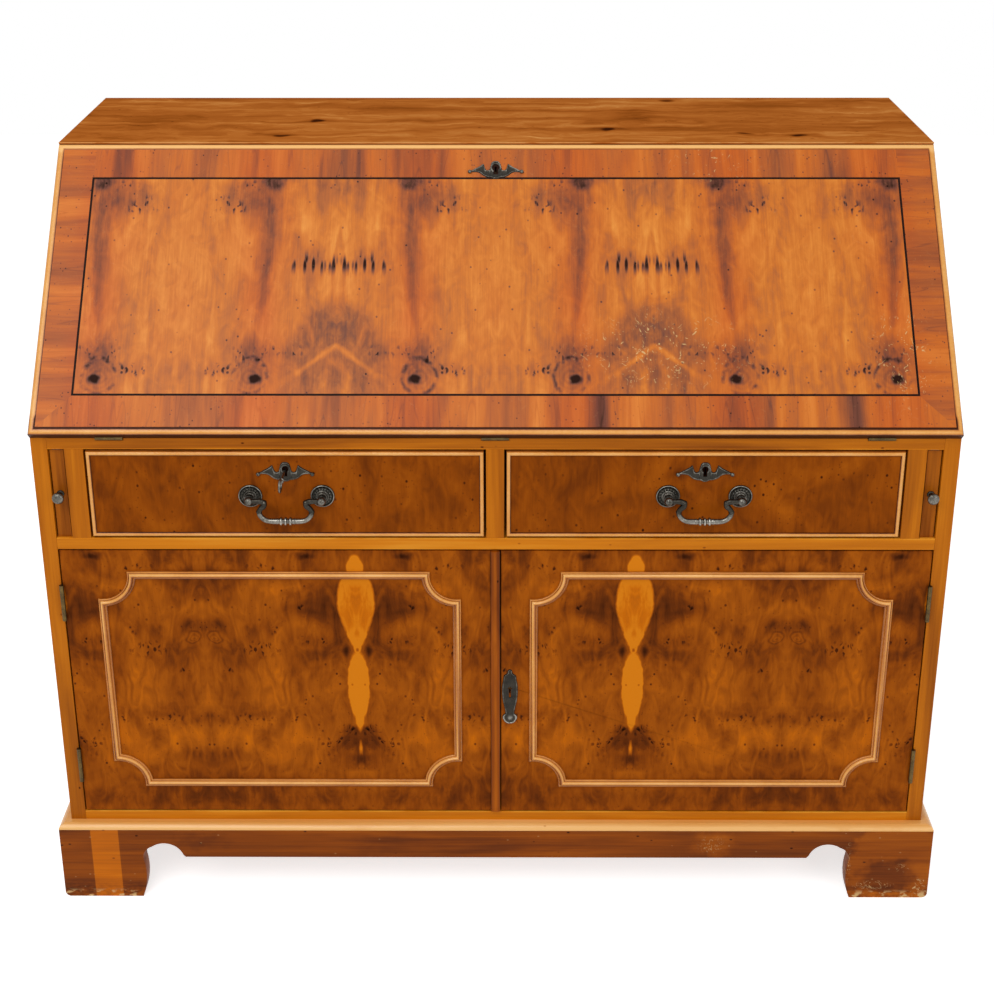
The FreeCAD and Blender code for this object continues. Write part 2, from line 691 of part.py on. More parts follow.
def pigeonholes():
    """The thin boards of the pigeonholes: uprights, side shelves and a centre shelf."""
    thick = PIGEONHOLE_BOARD
    boards = []
    mid_bay = (CENTRE_BAY_HALF + thick + INNER_HALF) / 2
    for side in SIDES:
        x0, x1 = sorted((side * CENTRE_BAY_HALF, side * (CENTRE_BAY_HALF + thick)))
        boards.append(block(x0, x1, PIGEONHOLE_FRONT, BACK_FACE, WRITING_TOP, TOP_BOTTOM))
        x0, x1 = sorted((side * (CENTRE_BAY_HALF + thick), side * INNER_HALF))
        boards.append(block(x0, x1, PIGEONHOLE_FRONT, BACK_FACE, INNER_SHELF_BOTTOM, INNER_SHELF_TOP))
        x0 = side * mid_bay - thick / 2
        boards.append(block(x0, x0 + thick, PIGEONHOLE_FRONT, BACK_FACE, INNER_SHELF_TOP, TOP_BOTTOM))
    low = WRITING_TOP + CENTRE_SHELF_RISE
    half = CENTRE_BAY_HALF
    boards.append(block(-half, half, PIGEONHOLE_FRONT, BACK_FACE, low, low + thick))
    return boards


def inner_drawer(side):
    """A small drawer under the pigeonholes: front, two sides, back, bottom and a turned knob."""
    gap = INNER_DRAWER_GAP
    x0, x1 = sorted((side * (CENTRE_BAY_HALF + PIGEONHOLE_BOARD), side * INNER_HALF))
    x0 += gap
    x1 -= gap
    front = PIGEONHOLE_FRONT
    inside = front + INNER_DRAWER_FRONT
    end = BACK_FACE - INNER_DRAWER_BACK_SPACE
    rim = INNER_SHELF_BOTTOM - INNER_DRAWER_LIP
    lining = INNER_DRAWER_LINING
    floor = WRITING_TOP + INNER_DRAWER_BOTTOM
    pieces = [block(x0, x1, front, inside, WRITING_TOP, INNER_SHELF_BOTTOM - gap)]
    pieces.append(block(x0, x0 + lining, inside, end, WRITING_TOP, rim))
    pieces.append(block(x1 - lining, x1, inside, end, WRITING_TOP, rim))
    pieces.append(block(x0 + lining, x1 - lining, end - lining, end, WRITING_TOP, rim))
    pieces.append(block(x0 + lining, x1 - lining, inside, end - lining, WRITING_TOP, floor))
    height = (WRITING_TOP + INNER_SHELF_BOTTOM) / 2
    pieces.append(knob(INNER_KNOB_RADIUS, INNER_KNOB_REACH, (x0 + x1) / 2, front, height))
    return pieces


def knob(radius, reach, x, y, z):
    """A turned knob that stands out to the front."""
    body = turned([(u * radius, v * reach) for u, v in KNOB_SHARES])
    return body.rotated(ORIGIN, X_AXIS, 180).translated(vector(x, y, z))


# Locks and lock plates

def lock_case(height, key_drop):
    """A lock's case: top edge on the X axis, let into a face at Z 0, with a bolt channel and a key cavity."""
    case = block(-LOCK_WIDTH / 2, LOCK_WIDTH / 2, -height, 0, 0, LOCK_DEPTH)
    case = case.cut(bolt_room(-BOLT_LENGTH - BOLT_FIT, OVERRUN))
    cavity = Part.makeCylinder(KEY_CAVITY_RADIUS, LOCK_DEPTH, vector(0, -key_drop, LOCK_BACK))
    return case.cut(cavity)


def lock_pocket(height):
    """The pocket that a lock's case fills, open at the face and at the edge."""
    return block(-LOCK_WIDTH / 2, LOCK_WIDTH / 2, -height, OVERRUN, -OVERRUN, LOCK_DEPTH)


def bolt_room(low, high):
    """The space of a bolt between two heights, with its clearance."""
    half = BOLT_WIDTH / 2 + BOLT_FIT
    depth = LOCK_BACK + BOLT_THICKNESS + BOLT_FIT
    return block(-half, half, low, high, LOCK_BACK - BOLT_FIT, depth)


def bolt_mortise(throw):
    """The mortise that a thrown bolt enters beyond the lock's edge."""
    return bolt_room(0, throw - BOLT_SINK + MORTISE_SPARE)


def lock_bolt():
    """A lock's bolt, drawn back just inside the edge."""
    depth = LOCK_BACK + BOLT_THICKNESS
    return block(-BOLT_WIDTH / 2, BOLT_WIDTH / 2, -BOLT_LENGTH, -BOLT_SINK, LOCK_BACK, depth)


def key_slot(low, high):
    """The key's way through the wood, round the key with a slot for its bit."""
    return keyhole(KEY_RADIUS + KEY_FIT, KEY_BIT_GAUGE + KEY_FIT, KEY_SLOT_DROP, low, high)


def wing_plate():
    """A bat-wing lock plate with its keyhole's eye at the origin."""
    plate = mirrored_plate(WING_SHARES, PLATE_WIDTH, PLATE_HEIGHT, PLATE_GAUGE)
    plate = plate.translated(vector(0, -PLATE_KEY_RISE, 0))
    return plate.cut(keyhole(PLATE_KEY_RADIUS, PLATE_KEY_SLOT, PLATE_KEY_DROP, -OVERRUN, OVERRUN))


def long_plate():
    """The door's long lock plate with its keyhole's eye at the origin."""
    plate = mirrored_plate(LONG_PLATE_SHARES, DOOR_PLATE_WIDTH, DOOR_PLATE_HEIGHT, PLATE_GAUGE)
    plate = plate.translated(vector(0, -DOOR_PLATE_KEY_RISE, 0))
    hole = keyhole(DOOR_PLATE_KEY_RADIUS, DOOR_PLATE_KEY_SLOT, DOOR_PLATE_KEY_DROP, -OVERRUN, OVERRUN)
    return plate.cut(hole)


# Fall front

def fall_hinge_places():
    """Where the fall's hinges stand along X."""
    spread = HALF_WIDTH - FALL_HINGE_INSET
    return (-spread, 0, spread)


def fall_hinge_pocket(x):
    """The room for one fall hinge in the fall: its leaf on the inner face and its knuckles at the heel."""
    half = FALL_HINGE_LENGTH / 2
    room = FALL_KNUCKLE_RADIUS + FALL_KNUCKLE_CLEARANCE
    leaf = block(x - half, x + half, -OVERRUN, FALL_HINGE_LEAF, -OVERRUN, FALL_HINGE_GAUGE)
    return leaf.fuse(block(x - half, x + half, -OVERRUN, room, -OVERRUN, room))


def fall_cuts():
    """Everything let into the fall: hinges, lock and key slot."""
    cuts = [fall_hinge_pocket(x) for x in fall_hinge_places()]
    cuts.append(lock_pocket(FALL_LOCK_HEIGHT).translated(vector(0, FALL_END, 0)))
    slot = key_slot(LOCK_DEPTH - OVERRUN, FALL_THICKNESS + OVERRUN)
    cuts.append(slot.translated(vector(0, FALL_END - FALL_KEY_DROP, 0)))
    return cuts


def stringing_rectangle():
    """The outer rectangle of the inlaid line on the fall."""
    inset = STRINGING_INSET
    return (inset - CORE_HALF, CORE_HALF - inset, CORE_START + inset, CORE_END - inset)


def leather_rectangle():
    """The rectangle of the leather on the fall's inner face."""
    margin = LEATHER_MARGIN
    return (margin - CORE_HALF, CORE_HALF - margin, CORE_START + margin, CORE_END - margin)


def fall_board():
    """The fall's core, grooved for the inlaid line and recessed for the leather."""
    board = block(-CORE_HALF, CORE_HALF, CORE_START, CORE_END, 0, FALL_THICKNESS)
    for tool in fall_cuts() + [stringing_ring(), leather_sheet()]:
        board = board.cut(tool)
    return laid(board)


def stringing_ring():
    """The inlaid line, one ring flush with the outer face."""
    x0, x1, y0, y1 = stringing_rectangle()
    wide = STRINGING_WIDTH
    low = FALL_THICKNESS - STRINGING_DEPTH
    ring = block(x0, x1, y0, y1, low, FALL_THICKNESS)
    return ring.cut(block(x0 + wide, x1 - wide, y0 + wide, y1 - wide, low, FALL_THICKNESS))


def leather_sheet():
    """The leather set into the fall's inner face."""
    x0, x1, y0, y1 = leather_rectangle()
    return block(x0, x1, y0, y1, 0, LEATHER_THICKNESS)


def fall_lipping():
    """The four mitred lippings of the fall, with a step and a thumbnail round at the outer face."""
    face = FALL_THICKNESS - LIPPING_STEP
    spring = face - LIPPING_ROUND
    bow = LIPPING_ROUND * DIAGONAL
    via = (LIPPING_ROUND - bow, spring + bow)
    steps = ((LIPPING_WIDTH, 0), (LIPPING_WIDTH, face), (LIPPING_ROUND, face), (via, (0, spring)))
    frame = (-HALF_WIDTH, HALF_WIDTH, FALL_HEEL_GAP, FALL_END)
    strips = []
    for strip in mitred_frame(*frame, (0, 0), steps, LIPPING_WIDTH, 0, face):
        for tool in fall_cuts():
            strip = strip.cut(tool)
        strips.append(laid(strip))
    return strips


def knuckle_thirds(length):
    """The lower and upper ends of a hinge's three knuckles, with a gap between neighbours."""
    end = length / 2
    inner = length / 6
    low = inner - KNUCKLE_GAP / 2
    high = inner + KNUCKLE_GAP / 2
    return [(-end, -high), (-low, low), (high, end)]


def fall_hinge_leaves_on_fall():
    """The leaves on the fall with their outer knuckles."""
    half = FALL_HINGE_LENGTH / 2
    room = FALL_KNUCKLE_RADIUS + FALL_KNUCKLE_CLEARANCE
    leaves = []
    for x in fall_hinge_places():
        leaf = block(x - half, x + half, room, FALL_HINGE_LEAF, 0, FALL_HINGE_GAUGE)
        for low, high in knuckle_thirds(FALL_HINGE_LENGTH)[::2]:
            leaf = leaf.fuse(block(x + low, x + high, 0, room, 0, FALL_HINGE_GAUGE))
            leaf = leaf.fuse(bar(FALL_KNUCKLE_RADIUS, vector(x + low, 0, 0), vector(x + high, 0, 0)))
        ends = (vector(x - half, 0, 0), vector(x + half, 0, 0))
        leaves.append(laid(leaf.cut(bar(FALL_PIN_RADIUS + PIN_FIT, *ends))))
    return leaves


def fall_hinge_leaves_on_carcass():
    """The leaves on the writing board with their middle knuckles."""
    half = FALL_HINGE_LENGTH / 2
    room = FALL_KNUCKLE_RADIUS + FALL_KNUCKLE_CLEARANCE
    low_z = PIN_Z - FALL_HINGE_GAUGE
    low, high = knuckle_thirds(FALL_HINGE_LENGTH)[1]
    leaves = []
    for x in fall_hinge_places():
        leaf = block(x - half, x + half, PIN_Y + room, PIN_Y + FALL_HINGE_LEAF, low_z, PIN_Z)
        leaf = leaf.fuse(block(x + low, x + high, PIN_Y, PIN_Y + room, low_z, PIN_Z))
        ends = (vector(x + low, PIN_Y, PIN_Z), vector(x + high, PIN_Y, PIN_Z))
        leaf = leaf.fuse(bar(FALL_KNUCKLE_RADIUS, *ends))
        leaves.append(leaf.cut(bar(FALL_PIN_RADIUS + PIN_FIT, *ends)))
    return leaves


def fall_hinge_pins():
    """The pins of the fall's hinges."""
    half = FALL_HINGE_LENGTH / 2
    pins = []
    for x in fall_hinge_places():
        pins.append(bar(FALL_PIN_RADIUS, vector(x - half, PIN_Y, PIN_Z), vector(x + half, PIN_Y, PIN_Z)))
    return pins


def on_fall_top(shape):
    """A shape drawn from a lock's edge, laid at the top edge of the fall."""
    return laid(shape.translated(vector(0, FALL_END, 0)))


def fall_plate():
    """The bat-wing plate on the fall's outer face."""
    return laid(wing_plate().translated(vector(0, FALL_END - FALL_KEY_DROP, FALL_THICKNESS)))


# Drawers

def on_drawer(shape, side, rise, y=FRONT):
    """A shape drawn upright and outward, stood on a drawer at a height."""
    return stood(shape, side * DRAWER_CENTRE, y, rise)


def drawer_front(side):
    """A drawer's front, rebated for the bead and let in for lock, key and handle bolts."""
    x0 = side * DRAWER_CENTRE - DRAWER_HALF
    x1 = side * DRAWER_CENTRE + DRAWER_HALF
    seat = FRONT + BEAD_DEPTH
    bead = BEAD_WIDTH
    front = block(x0, x1, seat, DRAWER_FRONT_BACK, DRAWER_BASE, DRAWER_CREST)
    front = front.fuse(block(x0 + bead, x1 - bead, FRONT, seat, DRAWER_BASE + bead, DRAWER_CREST - bead))
    front = front.cut(on_drawer(lock_pocket(LOCK_HEIGHT), side, DRAWER_CREST, DRAWER_FRONT_BACK))
    slot = key_slot(LOCK_DEPTH - OVERRUN, DRAWER_FRONT_THICKNESS + OVERRUN)
    front = front.cut(on_drawer(slot, side, DRAWER_CREST - KEY_DROP, DRAWER_FRONT_BACK))
    for x in handle_places(side):
        hole = bar(SHANK_RADIUS + SHANK_FIT, vector(x, FRONT - OVERRUN, HANDLE_HEIGHT),
                   vector(x, DRAWER_FRONT_BACK + OVERRUN, HANDLE_HEIGHT))
        front = front.cut(hole)
    return front


def drawer_bead(side):
    """The four mitred cock beads round a drawer's front."""
    round_radius = BEAD_WIDTH / 2
    spring = BEAD_PROUD - round_radius
    crown = ((round_radius, BEAD_PROUD), (0, spring))
    steps = ((BEAD_WIDTH, -BEAD_DEPTH), (BEAD_WIDTH, spring), crown)
    rise = (DRAWER_CREST - DRAWER_BASE) / 2
    frame = (-DRAWER_HALF, DRAWER_HALF, -rise, rise)
    strips = mitred_frame(*frame, (0, -BEAD_DEPTH), steps, BEAD_WIDTH, -BEAD_DEPTH, BEAD_PROUD)
    return [on_drawer(strip, side, DRAWER_BASE + rise) for strip in strips]


def drawer_box(side):
    """A drawer's linings: two sides that run on the dust board, the back and the bottom."""
    x0 = side * DRAWER_CENTRE - DRAWER_HALF
    x1 = side * DRAWER_CENTRE + DRAWER_HALF
    y0 = DRAWER_FRONT_BACK
    y1 = BACK_FACE - DRAWER_BACK_SPACE
    rim = DRAWER_CREST - DRAWER_LINING_DROP
    lining = DRAWER_LINING
    floor = DUST_TOP + DRAWER_BOTTOM_RISE
    pieces = [block(x0, x0 + lining, y0, y1, DUST_TOP, rim)]
    pieces.append(block(x1 - lining, x1, y0, y1, DUST_TOP, rim))
    pieces.append(block(x0 + lining, x1 - lining, y1 - lining, y1, floor, rim))
    top = floor + DRAWER_BOTTOM_THICKNESS
    pieces.append(block(x0 + lining, x1 - lining, y0, y1 - lining, floor, top))
    return pieces


def handle_places(side):
    """Where the two posts of a drawer's handle stand along X."""
    return [side * DRAWER_CENTRE + hand * HANDLE_SPACING / 2 for hand in SIDES]


def handle_posts(side):
    """The rosettes with their posts, bored for the bail, each with its bolt and nut through the front."""
    points = [(ROSETTE_RADIUS, 0), (ROSETTE_RADIUS, ROSETTE_RIM)]
    points += [(u * ROSETTE_RADIUS, v * ROSETTE_RIM) for u, v in ROSETTE_SHARES]
    points += [(POST_RADIUS, POST_REACH / 2), (POST_RADIUS, POST_REACH)]
    rosette = turned(points)
    rosette = rosette.fuse(Part.makeSphere(BALL_RADIUS, vector(0, POST_REACH, 0)))
    shank = bar(SHANK_RADIUS, vector(0, 0, 0), vector(0, -DRAWER_FRONT_THICKNESS - NUT_THICKNESS, 0))
    rosette = rosette.fuse(shank)
    ends = (vector(-BALL_RADIUS, POST_REACH, 0), vector(BALL_RADIUS, POST_REACH, 0))
    rosette = rosette.cut(bar(BAIL_PIN_RADIUS + PIN_FIT, *ends)).rotated(ORIGIN, X_AXIS, 180)
    nut = prism(Part.makePolygon(hexagon(NUT_RADIUS)), vector(0, 0, NUT_THICKNESS))
    nut = nut.cut(Part.makeCylinder(SHANK_RADIUS + SHANK_FIT, NUT_THICKNESS))
    pieces = []
    for x in handle_places(side):
        pieces.append(rosette.translated(vector(x, FRONT, HANDLE_HEIGHT)))
        pieces.append(stood(nut, x, DRAWER_FRONT_BACK + NUT_THICKNESS, HANDLE_HEIGHT))
    return pieces


def hexagon(radius):
    """The corners of a hexagon, closed."""
    turns = [math.radians(60 * i) for i in range(7)]
    return [flat(radius * math.cos(turn), radius * math.sin(turn)) for turn in turns]


def bail(side):
    """A bail that hangs between two posts: pins, elbows, necks and a grip with turned rings."""
    half = HANDLE_SPACING / 2
    neck = half - BAIL_NECK_INSET
    stub = half - BALL_RADIUS - KNUCKLE_GAP
    elbow = BAIL_ELBOW_RADIUS
    bend = BAIL_BEND_RADIUS
    drop = -BAIL_DROP
    turn = 1 - DIAGONAL
    elbow_via = (neck + elbow * turn, -elbow * turn)
    bend_via = (neck - bend * turn, drop + bend * turn)
    right = [(neck - bend, drop), (bend_via, (neck, drop + bend)), (neck, -elbow)]
    right += [(elbow_via, (neck + elbow, 0)), (stub, 0)]
    edges = edges_of((0, drop), right)
    mirrored = [edge.mirror(ORIGIN, X_AXIS) for edge in edges]
    path = Part.Wire(Part.__sortEdges__(mirrored + edges))
    section = Part.Wire(Part.makeCircle(BAIL_RADIUS, vector(-stub, 0, 0), X_AXIS))
    body = Part.Solid(path.makePipeShell([section], True, True))
    for hand in SIDES:
        inner = vector(hand * stub, 0, 0)
        body = body.fuse(bar(BAIL_PIN_RADIUS, inner, vector(hand * (half + BALL_RADIUS / 2), 0, 0)))
    for place in (-BAIL_RING_PITCH, 0, BAIL_RING_PITCH):
        x0 = place - BAIL_RING_WIDTH / 2
        ends = (vector(x0, drop, 0), vector(x0 + BAIL_RING_WIDTH, drop, 0))
        body = body.fuse(bar(BAIL_RING_RADIUS, *ends))
    return on_drawer(body.removeSplitter(), side, HANDLE_HEIGHT, FRONT - POST_REACH)


def key():
    """The key in the left drawer's lock: bow upright, stem through the front and bit in the lock's cavity."""
    x = -DRAWER_CENTRE
    z = DRAWER_CREST - KEY_DROP
    tail = DRAWER_FRONT_BACK - LOCK_BACK - KEY_FIT
    bow_y = FRONT - KEY_REACH + KEY_BOW_RADIUS
    neck_y = bow_y + KEY_BOW_RADIUS - KEY_BOW_BAR / 2
    body = bar(KEY_RADIUS, vector(x, tail, z), vector(x, neck_y, z))
    collar = bar(KEY_COLLAR_RADIUS, vector(x, neck_y + KEY_COLLAR_LENGTH, z), vector(x, neck_y, z))
    low = vector(x - KEY_BOW_GAUGE / 2, bow_y, z)
    high = vector(x + KEY_BOW_GAUGE / 2, bow_y, z)
    ring = bar(KEY_BOW_RADIUS, low, high).cut(bar(KEY_BOW_RADIUS - KEY_BOW_BAR, low, high))
    half = KEY_BIT_GAUGE / 2
    bit = block(x - half, x + half, tail - KEY_BIT_LENGTH, tail, z - KEY_BIT_REACH, z)
    return body.fuse(collar).fuse(ring).fuse(bit).removeSplitter()


# Lopers

def loper(side):
    """A loper bar with the groove that its stop peg runs in."""
    slack = (LOPER_SLOT_WIDTH - LOPER_WIDTH) / 2
    near = SLOT_INNER + slack
    far = near + LOPER_WIDTH
    y0 = FRONT + LOPER_RECESS
    x0, x1 = sorted((side * near, side * far))
    high = WRITING_BOTTOM - LOPER_TOP_GAP
    body = block(x0, x1, y0, y0 + LOPER_LENGTH, DUST_TOP, high)
    reach = LOPER_PEG_RADIUS + LOPER_GROOVE_FIT
    z = (DUST_TOP + WRITING_BOTTOM) / 2
    peg_y = FRONT + LOPER_PEG_SETBACK
    x0, x1 = sorted((side * (near - OVERRUN), side * (near + LOPER_GROOVE_DEPTH)))
    groove = block(x0, x1, peg_y - reach, peg_y + LOPER_TRAVEL + reach, z - reach, z + reach)
    tenon = vector(side * (near + far) / 2, y0, (DUST_TOP + high) / 2)
    hole = bar(LOPER_KNOB_STEM, tenon, tenon + vector(0, LOPER_KNOB_TENON, 0))
    return body.cut(groove).cut(hole)


def loper_knob(side):
    """The small knob that draws a loper out, tenoned into its face."""
    x = side * (SLOT_INNER + LOPER_SLOT_WIDTH / 2)
    y = FRONT + LOPER_RECESS
    z = (DUST_TOP + WRITING_BOTTOM - LOPER_TOP_GAP) / 2
    head = knob(LOPER_KNOB_RADIUS, LOPER_KNOB_REACH, x, y, z)
    return head.fuse(bar(LOPER_KNOB_STEM, vector(x, y, z), vector(x, y + LOPER_KNOB_TENON, z)))


# Doors

def flush_bolt_place():
    """The middle of the flush bolt along X, and its front face."""
    return (-ASTRAGAL_HALF - FLUSH_BOLT_INSET, DOOR_BACK - FLUSH_BOLT_GAUGE)


def door_left():
    """The left door, grooved at the back for its flush bolt."""
    door = block(-DOOR_OUTER, -ASTRAGAL_HALF, FRONT, DOOR_BACK, DOOR_BASE, DOOR_CREST)
    x, y = flush_bolt_place()
    half = FLUSH_BOLT_WIDTH / 2 + FLUSH_BOLT_FIT
    low = DOOR_CREST - FLUSH_BOLT_SINK - FLUSH_BOLT_LENGTH - FLUSH_BOLT_FIT
    return door.cut(block(x - half, x + half, y, DOOR_BACK + OVERRUN, low, DOOR_CREST + OVERRUN))


def door_left_bolt():
    """The flush bolt that holds the left door, with a thumb stud at its back."""
    x, y = flush_bolt_place()
    half = FLUSH_BOLT_WIDTH / 2
    high = DOOR_CREST - FLUSH_BOLT_SINK
    low = high - FLUSH_BOLT_LENGTH
    body = block(x - half, x + half, y, DOOR_BACK, low, high)
    z = low + FLUSH_BOLT_LENGTH / 3
    stud = bar(FLUSH_BOLT_THUMB_RADIUS, vector(x, y, z), vector(x, DOOR_BACK + FLUSH_BOLT_THUMB_REACH, z))
    return body.fuse(stud)


def astragal():
    """The beaded strip on the left door's meeting edge, with a mortise for the lock bolt."""
    half = ASTRAGAL_HALF
    spring = FRONT - ASTRAGAL_PROUD / 2
    crown = ((0, FRONT - ASTRAGAL_PROUD), (half, spring))
    steps = ((-half, spring), crown, (half, DOOR_BACK))
    strip = prism(outline((-half, DOOR_BACK), steps), vector(0, 0, DOOR_CREST - DOOR_BASE))
    strip = strip.translated(vector(0, 0, DOOR_BASE))
    return strip.cut(on_meeting_edge(bolt_mortise(DOOR_BOLT_THROW)))


def on_meeting_edge(shape):
    """A shape drawn from a lock's edge, turned so that the bolt leaves the right door's meeting edge."""
    return stood(shape, RIGHT_DOOR_EDGE, DOOR_BACK, DOOR_LOCK_HEIGHT, -90)


def door_right():
    """The right door, let in for its lock and key."""
    door = block(RIGHT_DOOR_EDGE, DOOR_OUTER, FRONT, DOOR_BACK, DOOR_BASE, DOOR_CREST)
    door = door.cut(on_meeting_edge(lock_pocket(LOCK_HEIGHT)))
    slot = key_slot(LOCK_DEPTH - OVERRUN, DOOR_THICKNESS + OVERRUN)
    return door.cut(stood(slot, RIGHT_DOOR_EDGE + DOOR_KEY_BACKSET, DOOR_BACK, DOOR_LOCK_HEIGHT))


def door_lock_case():
    """The door's lock, with its key cavity nearer the edge than the other locks have."""
    case = block(-LOCK_WIDTH / 2, LOCK_WIDTH / 2, -LOCK_HEIGHT, 0, 0, LOCK_DEPTH)
    case = case.cut(bolt_room(-BOLT_LENGTH - BOLT_FIT, OVERRUN))
    slot = key_slot(LOCK_BACK + BOLT_THICKNESS, LOCK_DEPTH).rotated(ORIGIN, Z_AXIS, 90)
    return case.cut(slot.translated(vector(0, -DOOR_KEY_BACKSET, 0)))


def indented_wire(half_width, half_height, offset, lift):
    """A rectangle with indented quarter-round corners, grown outward by an offset and lifted."""
    radius = PANEL_CORNER_RADIUS - offset
    back = math.sqrt(radius**2 - offset**2)
    inner = radius * DIAGONAL
    steps = []
    start = None
    for sx, sy in ((1, -1), (1, 1), (-1, 1), (-1, -1)):
        low = (sx * (half_width - back), sy * (half_height + offset))
        high = (sx * (half_width + offset), sy * (half_height - back))
        via = (sx * (half_width - inner), sy * (half_height - inner))
        first, last = (low, high) if sx * sy < 0 else (high, low)
        if start is None:
            start = first
        else:
            steps.append(first)
        steps.append((via, last))
    wire = outline(start, steps)
    return wire.translated(vector(0, 0, lift))


def panel_moulding(side):
    """The applied moulding of a door: a double bead that follows a panel with indented corners."""
    outer = DOOR_OUTER - PANEL_OUTER_MARGIN
    half_width = (outer - PANEL_INNER_EDGE - MOULDING_WIDTH) / 2
    low = DOOR_BASE + PANEL_BOTTOM_MARGIN
    high = DOOR_CREST - PANEL_TOP_MARGIN
    half_height = (high - low - MOULDING_WIDTH) / 2
    half = MOULDING_WIDTH / 2
    tall = MOULDING_HEIGHT
    profile = [(u * half, v * tall) for u, v in MOULDING_SHARES]
    rise = [indented_wire(half_width, half_height, out, lift) for out, lift in profile]
    fall = [indented_wire(half_width, half_height, -out, lift) for out, lift in profile]
    ring = Part.makeLoft(rise, True, True).cut(Part.makeLoft(fall, True, True))
    quirk = [indented_wire(half_width, half_height, hand * MOULDING_QUIRK / 2, tall) for hand in SIDES]
    down = vector(0, 0, -MOULDING_QUIRK_DEPTH)
    groove = prism(quirk[1], down).cut(prism(quirk[0], down))
    ring = ring.cut(groove)
    return stood(ring, side * (outer + PANEL_INNER_EDGE) / 2, FRONT, (low + high) / 2)


def door_hinge_heights():
    """The middle height of each hinge of a door."""
    return (DOOR_BASE + DOOR_HINGE_INSET, DOOR_CREST - DOOR_HINGE_INSET)


def door_hinge_leaf(side, z, face, thirds):
    """A hinge leaf that starts at a face in the door's gap, with the knuckles of the thirds given."""
    half = DOOR_HINGE_LENGTH / 2
    x = side * DOOR_PIN_X
    x0, x1 = sorted((side * face, side * (face + math.copysign(DOOR_HINGE_GAUGE, DOOR_PIN_X - face))))
    neck = FRONT - KNUCKLE_GAP
    leaf = block(x0, x1, neck, FRONT + DOOR_HINGE_LEAF, z - half, z + half)
    ends = (vector(x, DOOR_PIN_Y, z - half), vector(x, DOOR_PIN_Y, z + half))
    for low, high in thirds:
        leaf = leaf.fuse(block(x0, x1, DOOR_PIN_Y, neck, z + low, z + high))
        foot = vector(x, DOOR_PIN_Y, z + low)
        leaf = leaf.fuse(bar(DOOR_KNUCKLE_RADIUS, foot, vector(x, DOOR_PIN_Y, z + high)))
    return leaf.cut(bar(DOOR_PIN_RADIUS + PIN_FIT, *ends))


def door_hinge_leaves(side):
    """The leaves on a door's edge, each with its middle knuckle."""
    thirds = knuckle_thirds(DOOR_HINGE_LENGTH)[1:2]
    return [door_hinge_leaf(side, z, DOOR_OUTER, thirds) for z in door_hinge_heights()]


def door_hinge_leaves_on_carcass():
    """The leaves on the carcass sides, each with its outer knuckles."""
    thirds = knuckle_thirds(DOOR_HINGE_LENGTH)[::2]
    return [door_hinge_leaf(side, z, INNER_HALF, thirds) for side in SIDES for z in door_hinge_heights()]


def door_hinge_pins():
    """The pins of the door hinges."""
    half = vector(0, 0, DOOR_HINGE_LENGTH / 2)
    pins = []
    for side in SIDES:
        for z in door_hinge_heights():
            middle = vector(side * DOOR_PIN_X, DOOR_PIN_Y, z)
            pins.append(bar(DOOR_PIN_RADIUS, middle - half, middle + half))
    return pins


def build_carcass():
    """Write the fixed nodes: plinth, boards, shelves, pigeonholes and the fittings on the carcass."""
    save("plinth_front", plinth_front())
    save("plinth_sides", *plinth_sides())
    save("plinth_moulding", *base_moulding())
    save("foot_blocks", *foot_blocks())
    save("side_panels", *side_panels())
    save("top_board", top_board())
    save("back_panel", back_panel())
    save("bottom_board", bottom_board())
    save("writing_board", writing_board())
    save("dust_board", dust_board())
    save("centre_divider", centre_divider())
    save("loper_dividers", *loper_dividers())
    save("cupboard_shelf", cupboard_shelf())
    save("shelf_pegs", *shelf_pegs())
    save("pigeonholes", *pigeonholes())
    save("travel_stops", *travel_stops())
    leaves = fall_hinge_leaves_on_carcass() + door_hinge_leaves_on_carcass()
    save("carcass_fittings", *leaves, *lock_keepers())
    save("hinge_pins", *fall_hinge_pins(), *door_hinge_pins())


def build_fall():
    """Write the nodes of the fall front."""
    save("fall_board", fall_board())
    save("fall_lipping", *fall_lipping())
    save("fall_stringing", laid(stringing_ring()))
    save("fall_leather", laid(leather_sheet()))
    save("fall_hinge_leaves", *fall_hinge_leaves_on_fall())
    save("fall_lock", on_fall_top(lock_case(FALL_LOCK_HEIGHT, FALL_KEY_DROP)))
    save("fall_lock_bolt", on_fall_top(lock_bolt()))
    save("fall_escutcheon", fall_plate())


def build_drawers():
    """Write the nodes of the drawers, their handles and locks, and the key."""
    for side, hand in zip(SIDES, ("left", "right")):
        name = "drawer_" + hand
        save(name + "_front", drawer_front(side))
        save(name + "_bead", *drawer_bead(side))
        save(name + "_box", *drawer_box(side))
        case = lock_case(LOCK_HEIGHT, KEY_DROP)
        save(name + "_lock", on_drawer(case, side, DRAWER_CREST, DRAWER_FRONT_BACK))
        save(name + "_lock_bolt", on_drawer(lock_bolt(), side, DRAWER_CREST, DRAWER_FRONT_BACK))
        save(name + "_escutcheon", on_drawer(wing_plate(), side, DRAWER_CREST - KEY_DROP))
        save(name + "_rosettes", *handle_posts(side))
        save(name + "_bail", bail(side))
        save("inner_drawer_" + hand, *inner_drawer(side))
        save("loper_" + hand, loper(side))
        save("loper_" + hand + "_knob", loper_knob(side))
    save("key", key())


